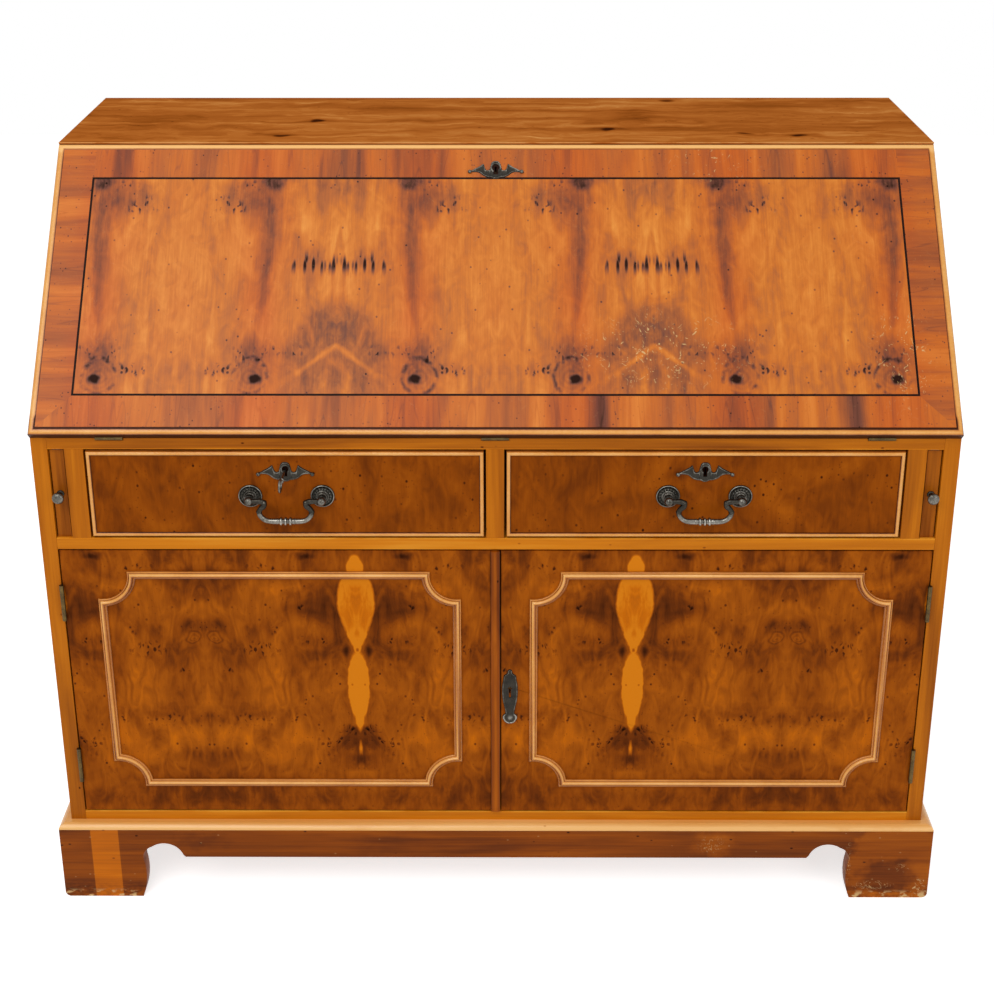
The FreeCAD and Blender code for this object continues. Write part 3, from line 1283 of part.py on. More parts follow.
def build_doors():
    """Write the nodes of the two doors."""
    save("door_left", door_left())
    save("door_left_bolt", door_left_bolt())
    save("door_left_moulding", panel_moulding(-1))
    save("door_left_hinge_leaves", *door_hinge_leaves(-1))
    save("astragal", astragal())
    save("door_right", door_right())
    save("door_right_moulding", panel_moulding(1))
    save("door_right_hinge_leaves", *door_hinge_leaves(1))
    save("door_lock", on_meeting_edge(door_lock_case()))
    save("door_lock_bolt", on_meeting_edge(lock_bolt()))
    save("door_escutcheon", stood(long_plate(), RIGHT_DOOR_EDGE + DOOR_KEY_BACKSET, FRONT, DOOR_LOCK_HEIGHT))


def main():
    """Write every node of the bureau."""
    os.makedirs("parts", exist_ok=True)
    build_carcass()
    build_fall()
    build_drawers()
    build_doors()


main()
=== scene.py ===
"""A slant-front bureau in yew, dressed on its packed frame.

Boards keep the frame's solids and get veneers worked out from their own coordinates. Cast, turned and moulded
pieces are surfaces computed as whole arrays. Sizes are in millimetres until a mesh is made.
"""

import logging
import math
from dataclasses import dataclass, field
from enum import Enum

import bmesh
import bpy
import numpy as np
from mathutils import Matrix, Vector


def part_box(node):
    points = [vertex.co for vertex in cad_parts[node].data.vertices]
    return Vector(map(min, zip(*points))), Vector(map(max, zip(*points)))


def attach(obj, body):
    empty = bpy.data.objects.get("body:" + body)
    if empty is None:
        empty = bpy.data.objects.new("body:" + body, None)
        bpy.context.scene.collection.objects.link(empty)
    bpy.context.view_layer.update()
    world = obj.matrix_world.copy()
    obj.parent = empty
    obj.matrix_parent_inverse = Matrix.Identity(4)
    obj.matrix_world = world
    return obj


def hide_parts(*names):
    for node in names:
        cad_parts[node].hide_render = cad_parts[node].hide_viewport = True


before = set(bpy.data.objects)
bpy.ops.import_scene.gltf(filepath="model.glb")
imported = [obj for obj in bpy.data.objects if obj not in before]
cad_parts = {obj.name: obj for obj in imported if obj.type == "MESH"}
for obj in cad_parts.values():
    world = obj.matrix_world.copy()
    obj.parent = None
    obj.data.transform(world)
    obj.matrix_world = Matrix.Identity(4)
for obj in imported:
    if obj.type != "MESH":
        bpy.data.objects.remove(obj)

Array = np.ndarray
Socket = bpy.types.NodeSocket
Tree = bpy.types.NodeTree
Stops = tuple[tuple[float, str], ...]

LOG = logging.getLogger("bureau")
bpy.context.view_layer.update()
MM = 0.001
MERGE_REACH = 1e-6
FULL_TURN = 2 * math.pi
WHITE = "#FFFFFF"
ARRIS_WELD = 0.01
ARRIS_STEPS = 2
ARRIS_ANGLE = math.radians(35)


class Node(Enum):
    """The shader nodes that the finishes are made of."""

    ATTRIBUTE = "ShaderNodeAttribute"
    BACKGROUND = "ShaderNodeBackground"
    BUMP = "ShaderNodeBump"
    COMBINE = "ShaderNodeCombineXYZ"
    COORDINATES = "ShaderNodeTexCoord"
    LIGHT_PATH = "ShaderNodeLightPath"
    MAPPING = "ShaderNodeMapping"
    MAP_RANGE = "ShaderNodeMapRange"
    MATH = "ShaderNodeMath"
    MIX = "ShaderNodeMix"
    NOISE = "ShaderNodeTexNoise"
    OUTPUT = "ShaderNodeOutputMaterial"
    PRINCIPLED = "ShaderNodeBsdfPrincipled"
    RAMP = "ShaderNodeValToRGB"
    SEPARATE = "ShaderNodeSeparateXYZ"
    VECTOR = "ShaderNodeVectorMath"
    VORONOI = "ShaderNodeTexVoronoi"
    WORLD_OUTPUT = "ShaderNodeOutputWorld"


class Side(Enum):
    """The two hands of the bureau, as signs along X."""

    LEFT = -1
    RIGHT = 1

    @property
    def word(self) -> str:
        """The side's name as the frame spells it."""
        return self.name.lower()


class Way(Enum):
    """The three ways along the bureau, as the index of an axis."""

    ACROSS = 0
    DEEP = 1
    UPRIGHT = 2

    def scale(self, width: float, length: float) -> tuple[float, ...]:
        """Pattern repeats per millimetre for grain this way: one per length along it and per width across."""
        return tuple(1 / length if axis == self.value else 1 / width for axis in range(3))


# Nodes and fields

def linear(colour: str) -> tuple[float, float, float, float]:
    """Turn an sRGB hex colour to linear light.

    Args:
        colour: six hex digits after a hash.
    Returns:
        Red, green, blue and an alpha of one.
    """
    shares = np.array([int(colour[i:i + 2], 16) for i in (1, 3, 5)]) / 255
    light = np.where(shares <= 0.04045, shares / 12.92, ((shares + 0.055) / 1.055) ** 2.4)
    return (*light.tolist(), 1.0)


def add(tree: Tree, kind: Node, inputs: list | dict = (), stops: Stops = (), **settings: object) -> Socket:
    """Add a node with its settings and links.

    Args:
        tree: node tree that gets the node.
        kind: which node it is.
        inputs: values or sockets for its inputs, by place or by name; None leaves an input as it is.
        stops: places and hex colours of a colour ramp.
        settings: other properties of the node.
    Returns:
        The node's first output in use, or None for an end node.
    """
    node = tree.nodes.new(kind.value)
    for name, value in settings.items():
        setattr(node, name, value)
    for key, value in inputs.items() if isinstance(inputs, dict) else enumerate(inputs):
        if isinstance(value, bpy.types.NodeSocket):
            tree.links.new(value, node.inputs[key])
        elif value is not None:
            node.inputs[key].default_value = value
    for place, colour in stops:
        known = [e for e in node.color_ramp.elements if abs(e.position - place) < MERGE_REACH]
        element = known[0] if known else node.color_ramp.elements.new(place)
        element.color = linear(colour)
    return next((output for output in node.outputs if output.enabled), None)


def millimetres(tree: Tree) -> Socket:
    """A piece's own coordinates in millimetres."""
    place = add(tree, Node.COORDINATES).node.outputs["Object"]
    return add(tree, Node.VECTOR, {0: place, "Scale": 1 / MM}, operation="SCALE")


def blend(tree: Tree, base: float | Socket, *layers: tuple[Socket, float]) -> Socket:
    """Add weighted fields to a base: base + field * weight + field * weight and so on.

    Args:
        tree: node tree.
        base: the value to start from.
        layers: fields with their weights.
    Returns:
        The sum.
    """
    for layer, weight in layers:
        base = add(tree, Node.MATH, [layer, weight, base], operation="MULTIPLY_ADD")
    return base


def streaks(tree: Tree, place: Socket, scale: tuple[float, ...], detail: float = 2.0,
            bend: float = 0.0) -> Socket:
    """A field about zero that wanders within half a unit, drawn out along the grain.

    Args:
        tree: node tree.
        place: coordinates in millimetres.
        scale: repeats per millimetre on each axis.
        detail: layers of finer wander.
        bend: how far the field folds on itself.
    Returns:
        The field.
    """
    place = add(tree, Node.MAPPING, {"Vector": place, "Scale": scale})
    wander = add(tree, Node.NOISE, {"Vector": place, "Scale": 1.0, "Detail": detail, "Distortion": bend})
    return add(tree, Node.MATH, [wander, 0.5], operation="SUBTRACT")


def drift(tree: Tree, place: Socket, size: float, reach: float) -> Socket:
    """Coordinates pushed about, so that what is drawn on them wavers.

    Args:
        tree: node tree.
        place: coordinates in millimetres.
        size: length over which the push changes.
        reach: how far the strongest push goes.
    Returns:
        The pushed coordinates.
    """
    scaled = add(tree, Node.MAPPING, {"Vector": place, "Scale": (1 / size,) * 3})
    push = add(tree, Node.NOISE, {"Vector": scaled, "Scale": 1.0, "Detail": 2.0}).node.outputs["Color"]
    push = add(tree, Node.VECTOR, [push, (0.5, 0.5, 0.5)], operation="SUBTRACT")
    return add(tree, Node.VECTOR, [push, (reach,) * 3, place], operation="MULTIPLY_ADD")


def pips(tree: Tree, place: Socket, spacing: tuple[float, ...], size: float) -> Socket:
    """Small scattered marks: one in each cell, full at the cell's point and gone at size shares of a cell.

    Args:
        tree: node tree.
        place: coordinates in millimetres.
        spacing: size of a cell on each axis.
        size: reach of a mark as a share of its cell.
    Returns:
        A field from zero to one.
    """
    place = add(tree, Node.MAPPING, {"Vector": place, "Scale": tuple(1 / step for step in spacing)})
    far = add(tree, Node.VORONOI, {"Vector": place, "Scale": 1.0})
    return add(tree, Node.MAP_RANGE, [far, size * 0.4, size, 1.0, 0.0], interpolation_type="SMOOTHSTEP")


def only_where(tree: Tree, layer: Socket, mask: Socket) -> Socket:
    """A field kept where a mask is one."""
    return add(tree, Node.MATH, [layer, mask], operation="MULTIPLY")


def within(tree: Tree, value: Socket, full: float, gone: float) -> Socket:
    """One up to full, falling smoothly to zero at gone."""
    return add(tree, Node.MAP_RANGE, [value, full, gone, 1.0, 0.0], interpolation_type="SMOOTHSTEP")


def near(tree: Tree, value: Socket, level: float, reach: float, full: float = 0.0) -> Socket:
    """One up to full above or below a level, falling smoothly to zero at a reach."""
    off = add(tree, Node.MATH, [value, level], operation="SUBTRACT")
    return within(tree, add(tree, Node.MATH, [off], operation="ABSOLUTE"), full, reach)


def rings(tree: Tree, far: Socket, pace: float, full: float, gone: float) -> Socket:
    """Rings round a centre, sin(distance * pace), that fade out between two distances.

    Args:
        tree: node tree.
        far: distance from the centre.
        pace: turns of the sine per unit of distance, in radians.
        full: where the rings start to fade.
        gone: where they are gone.
    Returns:
        A field from minus one to one.
    """
    turns = add(tree, Node.MATH, [far, pace], operation="MULTIPLY")
    turns = add(tree, Node.MATH, [turns], operation="SINE")
    return only_where(tree, turns, within(tree, far, full, gone))


def patches(tree: Tree, place: Socket, scale: tuple[float, ...], detail: float, low: float, high: float,
            least: float = 0.0) -> Socket:
    """A broken mask: streaks stretched so that low gives the least share and high gives one.

    Args:
        tree: node tree.
        place: coordinates in millimetres.
        scale: repeats per millimetre on each axis.
        detail: layers of finer wander.
        low: streak that gives the least share.
        high: streak that gives one.
        least: the least share.
    Returns:
        The mask.
    """
    return add(tree, Node.MAP_RANGE, [streaks(tree, place, scale, detail), low, high, least, 1.0])


@dataclass(frozen=True)
class Spot:
    """A soft round or oval place in a veneer's figure, with its centre and half sizes on the veneer."""

    across: float
    along: float
    width: float
    height: float
    core: float = 0.0

    def shares(self, tree: Tree, place: Socket) -> Socket:
        """Distance from the centre, as a share of the half sizes.

        Args:
            tree: node tree.
            place: coordinates in millimetres.
        Returns:
            The distance.
        """
        sizes = np.array([self.width, self.height])
        local = {"Vector": place, "Scale": (*(1 / sizes), 0.0),
                 "Location": (*(-np.array([self.across, self.along]) / sizes), 0.0)}
        return add(tree, Node.VECTOR, [add(tree, Node.MAPPING, local)], operation="LENGTH")

    def mask(self, tree: Tree, place: Socket) -> Socket:
        """One in the spot's core, smoothly falling to zero at its edge."""
        return within(tree, self.shares(tree, place), self.core, 1.0)


def spread(tree: Tree, base: float | Socket, place: Socket, spots: list[tuple[Spot, float]]) -> Socket:
    """Add soft spots to a base, each by its own weight.

    Args:
        tree: node tree.
        base: the value to start from.
        place: coordinates in millimetres.
        spots: the spots and their weights.
    Returns:
        The sum.
    """
    return blend(tree, base, *((spot.mask(tree, place), weight) for spot, weight in spots))


# Finishes

@dataclass(frozen=True)
class Panel:
    """A flat rectangle that a finish is laid out on: its middle, the way up its face and its half sizes."""

    middle: tuple[float, float, float] = (0.0, 0.0, 0.0)
    up: tuple[float, float, float] = (0.0, 0.0, 1.0)
    half_width: float = 1.0
    half_height: float = 1.0

    @classmethod
    def of(cls, node: str) -> "Panel":
        """The upright rectangle that a frame node fills, seen from the front.

        Args:
            node: the frame's node.
        Returns:
            The rectangle.
        """
        low, high = corners(node)
        half = (high - low) / 2
        return cls(tuple((low + high) / 2), half_width=half[0], half_height=half[2])

    def place(self, tree: Tree) -> tuple[Socket, Socket]:
        """Distances across and up the rectangle from its middle.

        Args:
            tree: node tree.
        Returns:
            The two distances.
        """
        off = add(tree, Node.VECTOR, [millimetres(tree), self.middle], operation="SUBTRACT")
        across = add(tree, Node.SEPARATE, [off]).node.outputs["X"]
        return across, add(tree, Node.VECTOR, [off, self.up], operation="DOT_PRODUCT")

    def inset(self, tree: Tree) -> Socket:
        """Distance inwards from the rectangle's nearest edge.

        Args:
            tree: node tree.
        Returns:
            The distance.
        """
        gaps = []
        for off, half in zip(self.place(tree), (self.half_width, self.half_height)):
            off = add(tree, Node.MATH, [off], operation="ABSOLUTE")
            gaps.append(add(tree, Node.MATH, [half, off], operation="SUBTRACT"))
        return add(tree, Node.MATH, gaps, operation="MINIMUM")


@dataclass(frozen=True)
class Finish:
    """A surface, named for what it is and how it was made."""

    name: str

    def shader(self, tree: Tree) -> Socket:
        """The finish's shader."""
        raise NotImplementedError

    def material(self) -> bpy.types.Material:
        """Build the finish.

        Returns:
            A new material.
        """
        made = bpy.data.materials.new(self.name)
        made.use_nodes = True
        made.node_tree.nodes.clear()
        add(made.node_tree, Node.OUTPUT, {"Surface": self.shader(made.node_tree)})
        return made


@dataclass(frozen=True)
class PolishedYew(Finish):
    """Yew under thin rubbed polish: warm depth, fine open grain, a soft sheen that dulls on dark figure."""

    tones: Stops = ()
    roughness: float = 0.38
    gloss: float = 0.1
    grain_depth: float = 0.12
    grain_strength: float = 0.25
    dark_dulling: float = 0.1
    pale_shine: float = 0.04
    dark_tone: float = 0.3
    dark_gloss: float = 0.2
    red_cast: str = "#EBB9A6"
    bare_wood: str = "#D2AC74"

    def polish(self, tree: Tree, tone: Socket, redness: Socket | None = None,
               bare: Socket | None = None) -> Socket:
        """Colour, sheen and fine relief from one field of tone.

        Args:
            tree: node tree.
            tone: zero for the darkest figure, one for the palest wood.
            redness: share of a red-brown cast over the colour.
            bare: share of bare wood where the polish and the stain are gone.
        Returns:
            The shader.
        """
        colour = add(tree, Node.RAMP, [tone], stops=self.tones)
        if redness is not None:
            colour = add(tree, Node.MIX, {0: redness, 6: colour, 7: linear(self.red_cast)}, data_type="RGBA",
                         blend_type="MULTIPLY")
        if bare is not None:
            colour = add(tree, Node.MIX, {0: bare, 6: colour, 7: linear(self.bare_wood)}, data_type="RGBA")
        rough = add(tree, Node.MAP_RANGE, [tone, 0.0, 1.0, self.roughness + self.dark_dulling,
                                           self.roughness - self.pale_shine])
        sheen = add(tree, Node.MAP_RANGE, [tone, 0.0, self.dark_tone, self.dark_gloss * self.gloss,
                                           self.gloss])
        relief = add(tree, Node.BUMP, {"Height": tone, "Strength": self.grain_strength,
                                       "Distance": self.grain_depth * MM})
        return add(tree, Node.PRINCIPLED, {"Base Color": colour, "Roughness": rough, "Normal": relief,
                                           "Specular IOR Level": sheen})


@dataclass(frozen=True)
class Wear:
    """A line along a board where the polish has changed: its axis, level and reach, and the change."""

    way: Way
    level: float
    reach: float
    change: float


@dataclass(frozen=True)
class StraightYew(PolishedYew):
    """Straight-grained yew, planed and polished: streaks, hairline pores, pin knots and worn edges."""

    grain: Way = Way.ACROSS
    base: float = 0.55
    band: float = 24.0
    line: float = 2.6
    contrast: float = 1.0
    knots: float = 0.35
    # Lines of worn polish; on the astragal they are painted highlight and shade.
    worn: tuple[Wear, ...] = ()
    band_stretch: float = 12.0
    band_depth: float = 0.7
    line_stretch: float = 60.0
    line_depth: float = 0.22
    pore: tuple[float, float] = (0.9, 30.0)
    pore_depth: float = 0.08
    knot_gap: tuple[float, float] = (21.0, 36.0)
    knot_size: float = 0.08

    def shader(self, tree: Tree) -> Socket:
        """The board's tone, with its worn lines, under polish."""
        place = millimetres(tree)
        return self.polish(tree, blend(tree, self.board(tree, place), *self.wear(tree, place)))

    def board(self, tree: Tree, place: Socket) -> Socket:
        """Broad bands, fine lines and pores, each drawn out along the grain, with pin knots.

        Args:
            tree: node tree.
            place: coordinates in millimetres.
        Returns:
            The field of tone.
        """
        broad = streaks(tree, place, self.grain.scale(self.band, self.band_stretch * self.band), 3.0, 0.6)
        lines = streaks(tree, place, self.grain.scale(self.line, self.line_stretch * self.line), 3.0, 0.2)
        pores = streaks(tree, place, self.grain.scale(*self.pore), 1.0)
        spots = pips(tree, place, self.grain.scale(*(1 / gap for gap in self.knot_gap)), self.knot_size)
        return blend(tree, self.base, (broad, self.band_depth * self.contrast),
                     (lines, self.line_depth * self.contrast), (pores, self.pore_depth), (spots, -self.knots))

    def wear(self, tree: Tree, place: Socket) -> list[tuple[Socket, float]]:
        """Patchy lines of worn polish.

        Args:
            tree: node tree.
            place: coordinates in millimetres.
        Returns:
            A field for each line and how far it moves the tone.
        """
        patchy = patches(tree, place, (1 / 40.0,) * 3, 4.0, -0.16, 0.08, 0.3)
        axes = add(tree, Node.SEPARATE, [place]).node.outputs
        lines = [near(tree, axes[wear.way.value], wear.level, wear.reach) for wear in self.worn]
        return [(only_where(tree, line, patchy), wear.change) for line, wear in zip(lines, self.worn)]


@dataclass(frozen=True)
class TopVeneer(StraightYew):
    """Yew laid lengthways on the top: wild grain that parts round long dark knots."""

    def board(self, tree: Tree, place: Socket) -> Socket:
        """The straight board, pushed about, with knots and smoky clouds along the grain.

        Args:
            tree: node tree.
            place: coordinates in millimetres.
        Returns:
            The field of tone.
        """
        loose = drift(tree, place, 70.0, 46.0)
        knots = [Spot(-265.0, 148.0, 15.0, 15.0, 0.2), Spot(-302.0, 68.0, 15.0, 14.0, 0.1),
                 Spot(166.0, 100.0, 14.0, 13.0, 0.2), Spot(265.0, 296.0, 13.0, 14.0, 0.1),
                 Spot(352.0, 74.0, 18.0, 11.0), Spot(432.0, 62.0, 18.0, 11.0)]
        marks = [(knot, -0.5) for knot in knots]
        marks += [(Spot(knot.across, knot.along, 3 * knot.width, 1.6 * knot.height), -0.16) for knot in knots]
        marks += [(Spot(-500.0, 150.0, 90.0, 50.0), -0.16), (Spot(205.0, 180.0, 60.0, 70.0), -0.2),
                  (Spot(380.0, 240.0, 140.0, 70.0), -0.14), (Spot(0.0, 48.0, 700.0, 46.0), 0.12)]
        return spread(tree, super().board(tree, loose), loose, marks)


@dataclass(frozen=True)
class PlinthYew(StraightYew):
    """Plinth yew, knocked about: a sapwood stripe on one foot, scuffs on the other, chipped toes."""

    def shader(self, tree: Tree) -> Socket:
        """The straight board with its stripe, scuffs and chips, laid out across the front.

        Args:
            tree: node tree.
        Returns:
            The shader.
        """
        place = millimetres(tree)
        axes = add(tree, Node.SEPARATE, [place]).node.outputs
        flat = add(tree, Node.COMBINE, [axes["X"], axes["Z"], 0.0])
        loose = drift(tree, flat, 18.0, 40.0)
        places = [(Spot(575.0, 60.0, 74.0, 80.0, 0.8), 0.18), (Spot(562.0, 36.0, 58.0, 42.0, 0.4), -0.26),
                  (Spot(312.0, 92.0, 40.0, 30.0, 0.2), 0.16), (Spot(-420.0, 96.0, 60.0, 20.0), -0.1),
                  (Spot(-160.0, 96.0, 70.0, 40.0), -0.08), (Spot(80.0, 90.0, 90.0, 40.0), 0.06)]
        stripe = Spot(-561.0, 60.0, 20.5, 900.0, 0.94).mask(tree, flat)
        grime = streaks(tree, flat, (1 / 9.0, 1 / 5.0, 1.0), 4.0)
        grime = only_where(tree, within(tree, axes["Z"], 2.0, 34.0), grime)
        tone = spread(tree, self.board(tree, place), loose, places)
        tone = blend(tree, tone, (stripe, 0.36), (grime, 0.7))
        ragged = patches(tree, flat, (1 / 13.0, 1 / 9.0, 1.0), 4.0, 0.02, 0.1)
        toes = only_where(tree, within(tree, axes["Z"], 5.0, 15.0), ragged)
        chips = pips(tree, loose, (17.0, 11.0, 1.0), 0.36)
        struck = [Spot(545.0, 22.0, 34.0, 9.0, 0.6), Spot(310.0, 92.0, 26.0, 20.0),
                  Spot(612.0, 16.0, 16.0, 22.0, 0.6), Spot(506.0, 60.0, 7.0, 50.0, 0.3),
                  Spot(586.0, 52.0, 12.0, 10.0, 0.4)]
        struck = spread(tree, 0.0, flat, [(spot, 0.9) for spot in struck])
        flakes = pips(tree, flat, (23.0, 17.0, 1.0), 0.09)
        bare = blend(tree, toes, (only_where(tree, chips, struck), 1.0), (flakes, 0.25))
        return self.polish(tree, tone, bare=bare)


@dataclass(frozen=True)
class BeadYew(PolishedYew):
    """A scraped bead round a panel: rubbed pale on its crown, with old polish and dirt in its quirks."""

    panel: Panel = Panel()
    width: float = 6.0
    crown: float = 2.6
    # Painted light at the panel's top and painted shade at its foot, as shifts of tone.
    top_light: float = 0.0
    foot_shading: float = 0.0
    base: float = 0.42
    # A painted highlight on the crown, and painted shade in the quirk and at the outer rim.
    crown_highlight: float = 0.38
    quirk_shading: float = 0.42
    rim_shading: float = 0.12
    cloud_depth: float = 0.36
    fleck_depth: float = 0.2

    def shader(self, tree: Tree) -> Socket:
        """Tone by the distance from the panel's edge, worn at the panel's top and dirty at its foot.

        Args:
            tree: node tree.
        Returns:
            The shader.
        """
        edge, place, up = self.panel.inset(tree), millimetres(tree), self.panel.place(tree)[1]
        # Painted light: the bead is painted lighter towards the panel's top.
        worn = near(tree, up, self.panel.half_height, 2 * self.width)
        foot = within(tree, up, 2 * self.width - self.panel.half_height,
                      3 * self.width - self.panel.half_height)
        # Painted shade in the quirk and at the outer rim along the panel's foot.
        shading = blend(tree, near(tree, edge, self.width, 0.55 * self.width),
                     (near(tree, edge, 0.0, 0.3 * self.width), 0.8))
        shading = only_where(tree, shading, foot)
        cloud = streaks(tree, place, (1 / 46.0,) * 3, 3.0)
        fleck = streaks(tree, place, (1 / 3.5,) * 3, 3.0)
        # A painted highlight on the crown; painted shade in the quirk and at the outer rim.
        crown = near(tree, edge, self.crown, self.width * 0.48, self.width * 0.22)
        quirk = near(tree, edge, self.width, 2.0)
        rim = near(tree, edge, 0.0, 1.0)
        tone = blend(tree, self.base, (crown, self.crown_highlight), (quirk, -self.quirk_shading),
                     (rim, -self.rim_shading), (cloud, self.cloud_depth), (fleck, self.fleck_depth),
                     (worn, self.top_light), (shading, -self.foot_shading))
        return self.polish(tree, tone)


@dataclass(frozen=True)
class MouldedYew(PolishedYew):
    """A run moulding, stained and polished: pale on the rounds that a cloth reaches, dark in the quirks."""

    base: float = 0.3
    rub_and_highlight_lift: float = 0.7
    cloud_depth: float = 0.4
    fleck_depth: float = 0.18

    def shader(self, tree: Tree) -> Socket:
        """Tone by the piece's own rub attribute, broken up along the moulding.

        Args:
            tree: node tree.
        Returns:
            The shader.
        """
        place = millimetres(tree)
        cloud = streaks(tree, place, (1 / 60.0,) * 3, 3.0)
        fleck = streaks(tree, place, (1 / 4.0,) * 3, 3.0)
        # Painted light: rub_and_highlight is high on crowns and upward faces as a painted highlight, and low
        # in quirks as painted shade.
        rub_and_highlight = add(tree, Node.ATTRIBUTE, attribute_name="rub_and_highlight").node.outputs["Fac"]
        return self.polish(tree, blend(tree, self.base, (rub_and_highlight, self.rub_and_highlight_lift), (cloud, self.cloud_depth),
                                       (fleck, self.fleck_depth)))


@dataclass(frozen=True)
class FallVeneer(PolishedYew):
    """Book-matched yew leaves inside a black line, crossbanding outside it, and old pale scratches."""

    panel: Panel = Panel()
    leaf: float = 211.5
    band: float = 55.0
    band_change: float = 34.0
    band_length: float = 420.0
    peak_lean: float = 0.75
    dash_height: float = 244.0
    scratch: tuple[float, float] = (7.5, 66.0)
    leans: tuple[float, ...] = (0.8, -0.9, 0.15)
    # Where the veneer is painted black behind the lock plate's keyhole, as painted shade.
    keyhole: Spot = Spot(0.0, 0.0, 1.0, 1.0)

    def shader(self, tree: Tree) -> Socket:
        """The leaves' figure and the banding round it, butted at the top corners and mitred at the foot.

        Args:
            tree: node tree.
        Returns:
            The shader.
        """
        x, up = self.panel.place(tree)
        climb = add(tree, Node.MATH, [up, self.panel.half_height], operation="ADD")
        flat = add(tree, Node.COMBINE, [x, climb, 0.0])
        folded = add(tree, Node.MATH, [x, self.leaf], operation="PINGPONG")
        leaf = add(tree, Node.COMBINE, [folded, climb, 0.0])
        off = add(tree, Node.MATH, [x], operation="ABSOLUTE")
        rise = add(tree, Node.MATH, [up], operation="ABSOLUTE")
        ends = add(tree, Node.MATH, [rise, self.panel.half_height - self.band], operation="GREATER_THAN")
        sides = add(tree, Node.MATH, [off, self.panel.half_width - self.band], operation="GREATER_THAN")
        mitre = add(tree, Node.MATH, [off, climb], operation="ADD")
        mitre = add(tree, Node.MATH, [mitre, self.panel.half_width], operation="GREATER_THAN")
        sides = only_where(tree, sides, mitre)
        tone = self.figure(tree, leaf, flat, climb, folded)
        change, length = 1 / self.band_change, 1 / self.band_length
        tone = add(tree, Node.MIX, {0: ends, 2: tone, 3: self.banding(tree, flat, (change, length, 1.0))})
        tone = add(tree, Node.MIX, {0: sides, 2: tone, 3: self.banding(tree, flat, (length, change, 1.0))})
        band = add(tree, Node.MATH, [ends, sides], operation="MAXIMUM")
        # Painted shade: the veneer is painted black where it shows through the keyhole.
        tone = blend(tree, tone, (self.keyhole.mask(tree, flat), -1.0))
        column = near(tree, folded, 112.0, 60.0)
        blush = streaks(tree, leaf, (1 / 50.0, 1 / 120.0, 1.0))
        redness = blend(tree, 0.04, (band, 0.3), (column, 0.45), (blush, 0.8))
        return self.polish(tree, tone, redness, self.scratches(tree, flat))

    def banding(self, tree: Tree, flat: Socket, scale: tuple[float, ...]) -> Socket:
        """Crossbanding: short grain that changes tone every few centimetres, with thin dark lines and pips.

        Args:
            tree: node tree.
            flat: place on the fall.
            scale: repeats of the broad change per millimetre on each axis.
        Returns:
            The field of tone.
        """
        fine = tuple(9 * share for share in scale[:2]) + (1.0,)
        wide = tuple(0.4 * share for share in scale[:2]) + (1.0,)
        broad = streaks(tree, flat, scale, 3.0, 0.7)
        slow = streaks(tree, flat, wide, 2.0, 0.5)
        lines = streaks(tree, flat, fine, 3.0, 0.4)
        cracks = streaks(tree, flat, tuple(1.7 * share for share in scale[:2]) + (1.0,), 1.0, 0.3)
        cracks = near(tree, cracks, 0.0, 0.016)
        dark = add(tree, Node.MAP_RANGE, [slow, 0.08, 0.24, 0.0, 1.0])
        group = patches(tree, flat, (1 / 30.0, 1 / 30.0, 1.0), 2.0, -0.02, 0.1, 0.15)
        marks = only_where(tree, pips(tree, flat, (6.5, 7.5, 1.0), 0.2), group)
        return blend(tree, 0.62, (broad, 0.9), (lines, 0.2), (dark, -0.42), (cracks, -0.09), (marks, -0.42))

    def figure(self, tree: Tree, leaf: Socket, flat: Socket, climb: Socket, folded: Socket) -> Socket:
        """The figure of a leaf: streaky gold, smoky clouds, eye knots, peaks at joints, burr strokes.

        Args:
            tree: node tree.
            leaf: place on a leaf, mirrored at each joint.
            flat: place on the fall.
            climb: distance up the fall from its heel.
            folded: distance across the leaf from its plain joint.
        Returns:
            The field of tone.
        """
        loose = drift(tree, leaf, 40.0, 34.0)
        broad = streaks(tree, leaf, (1 / 36.0, 1 / 180.0, 1.0), 3.0, 1.1)
        curl = streaks(tree, flat, (1 / 20.0, 1 / 34.0, 1.0), 4.0, 1.6)
        lines = streaks(tree, flat, (1 / 2.6, 1 / 110.0, 1.0), 3.0, 0.3)
        fibre = streaks(tree, flat, (1 / 0.9, 1 / 24.0, 1.0), 2.0)
        smoke = streaks(tree, leaf, (1 / 9.0, 1 / 17.0, 1.0), 4.0, 1.0)
        clouds = spread(tree, 0.0, loose, self.clouds())
        clouds = blend(tree, clouds, (self.peak(tree, drift(tree, leaf, 30.0, 12.0)), 1.0))
        clouds = add(tree, Node.MATH, [clouds, blend(tree, 1.05, (smoke, 1.1))], operation="MULTIPLY")
        layers = [(broad, 0.95), (curl, 0.34), (lines, 0.2), (fibre, 0.12), (clouds, 1.0)]
        layers += [(self.eye(tree, drift(tree, leaf, 30.0, 12.0), flat), -0.5),
                   (self.burrs(tree, leaf, loose), -0.5)]
        layers.append((self.dashes(tree, leaf, climb, folded), -0.62))
        layers.append((pips(tree, flat, (17.0, 19.0, 1.0), 0.11), -0.36))
        return blend(tree, 0.7, *layers)

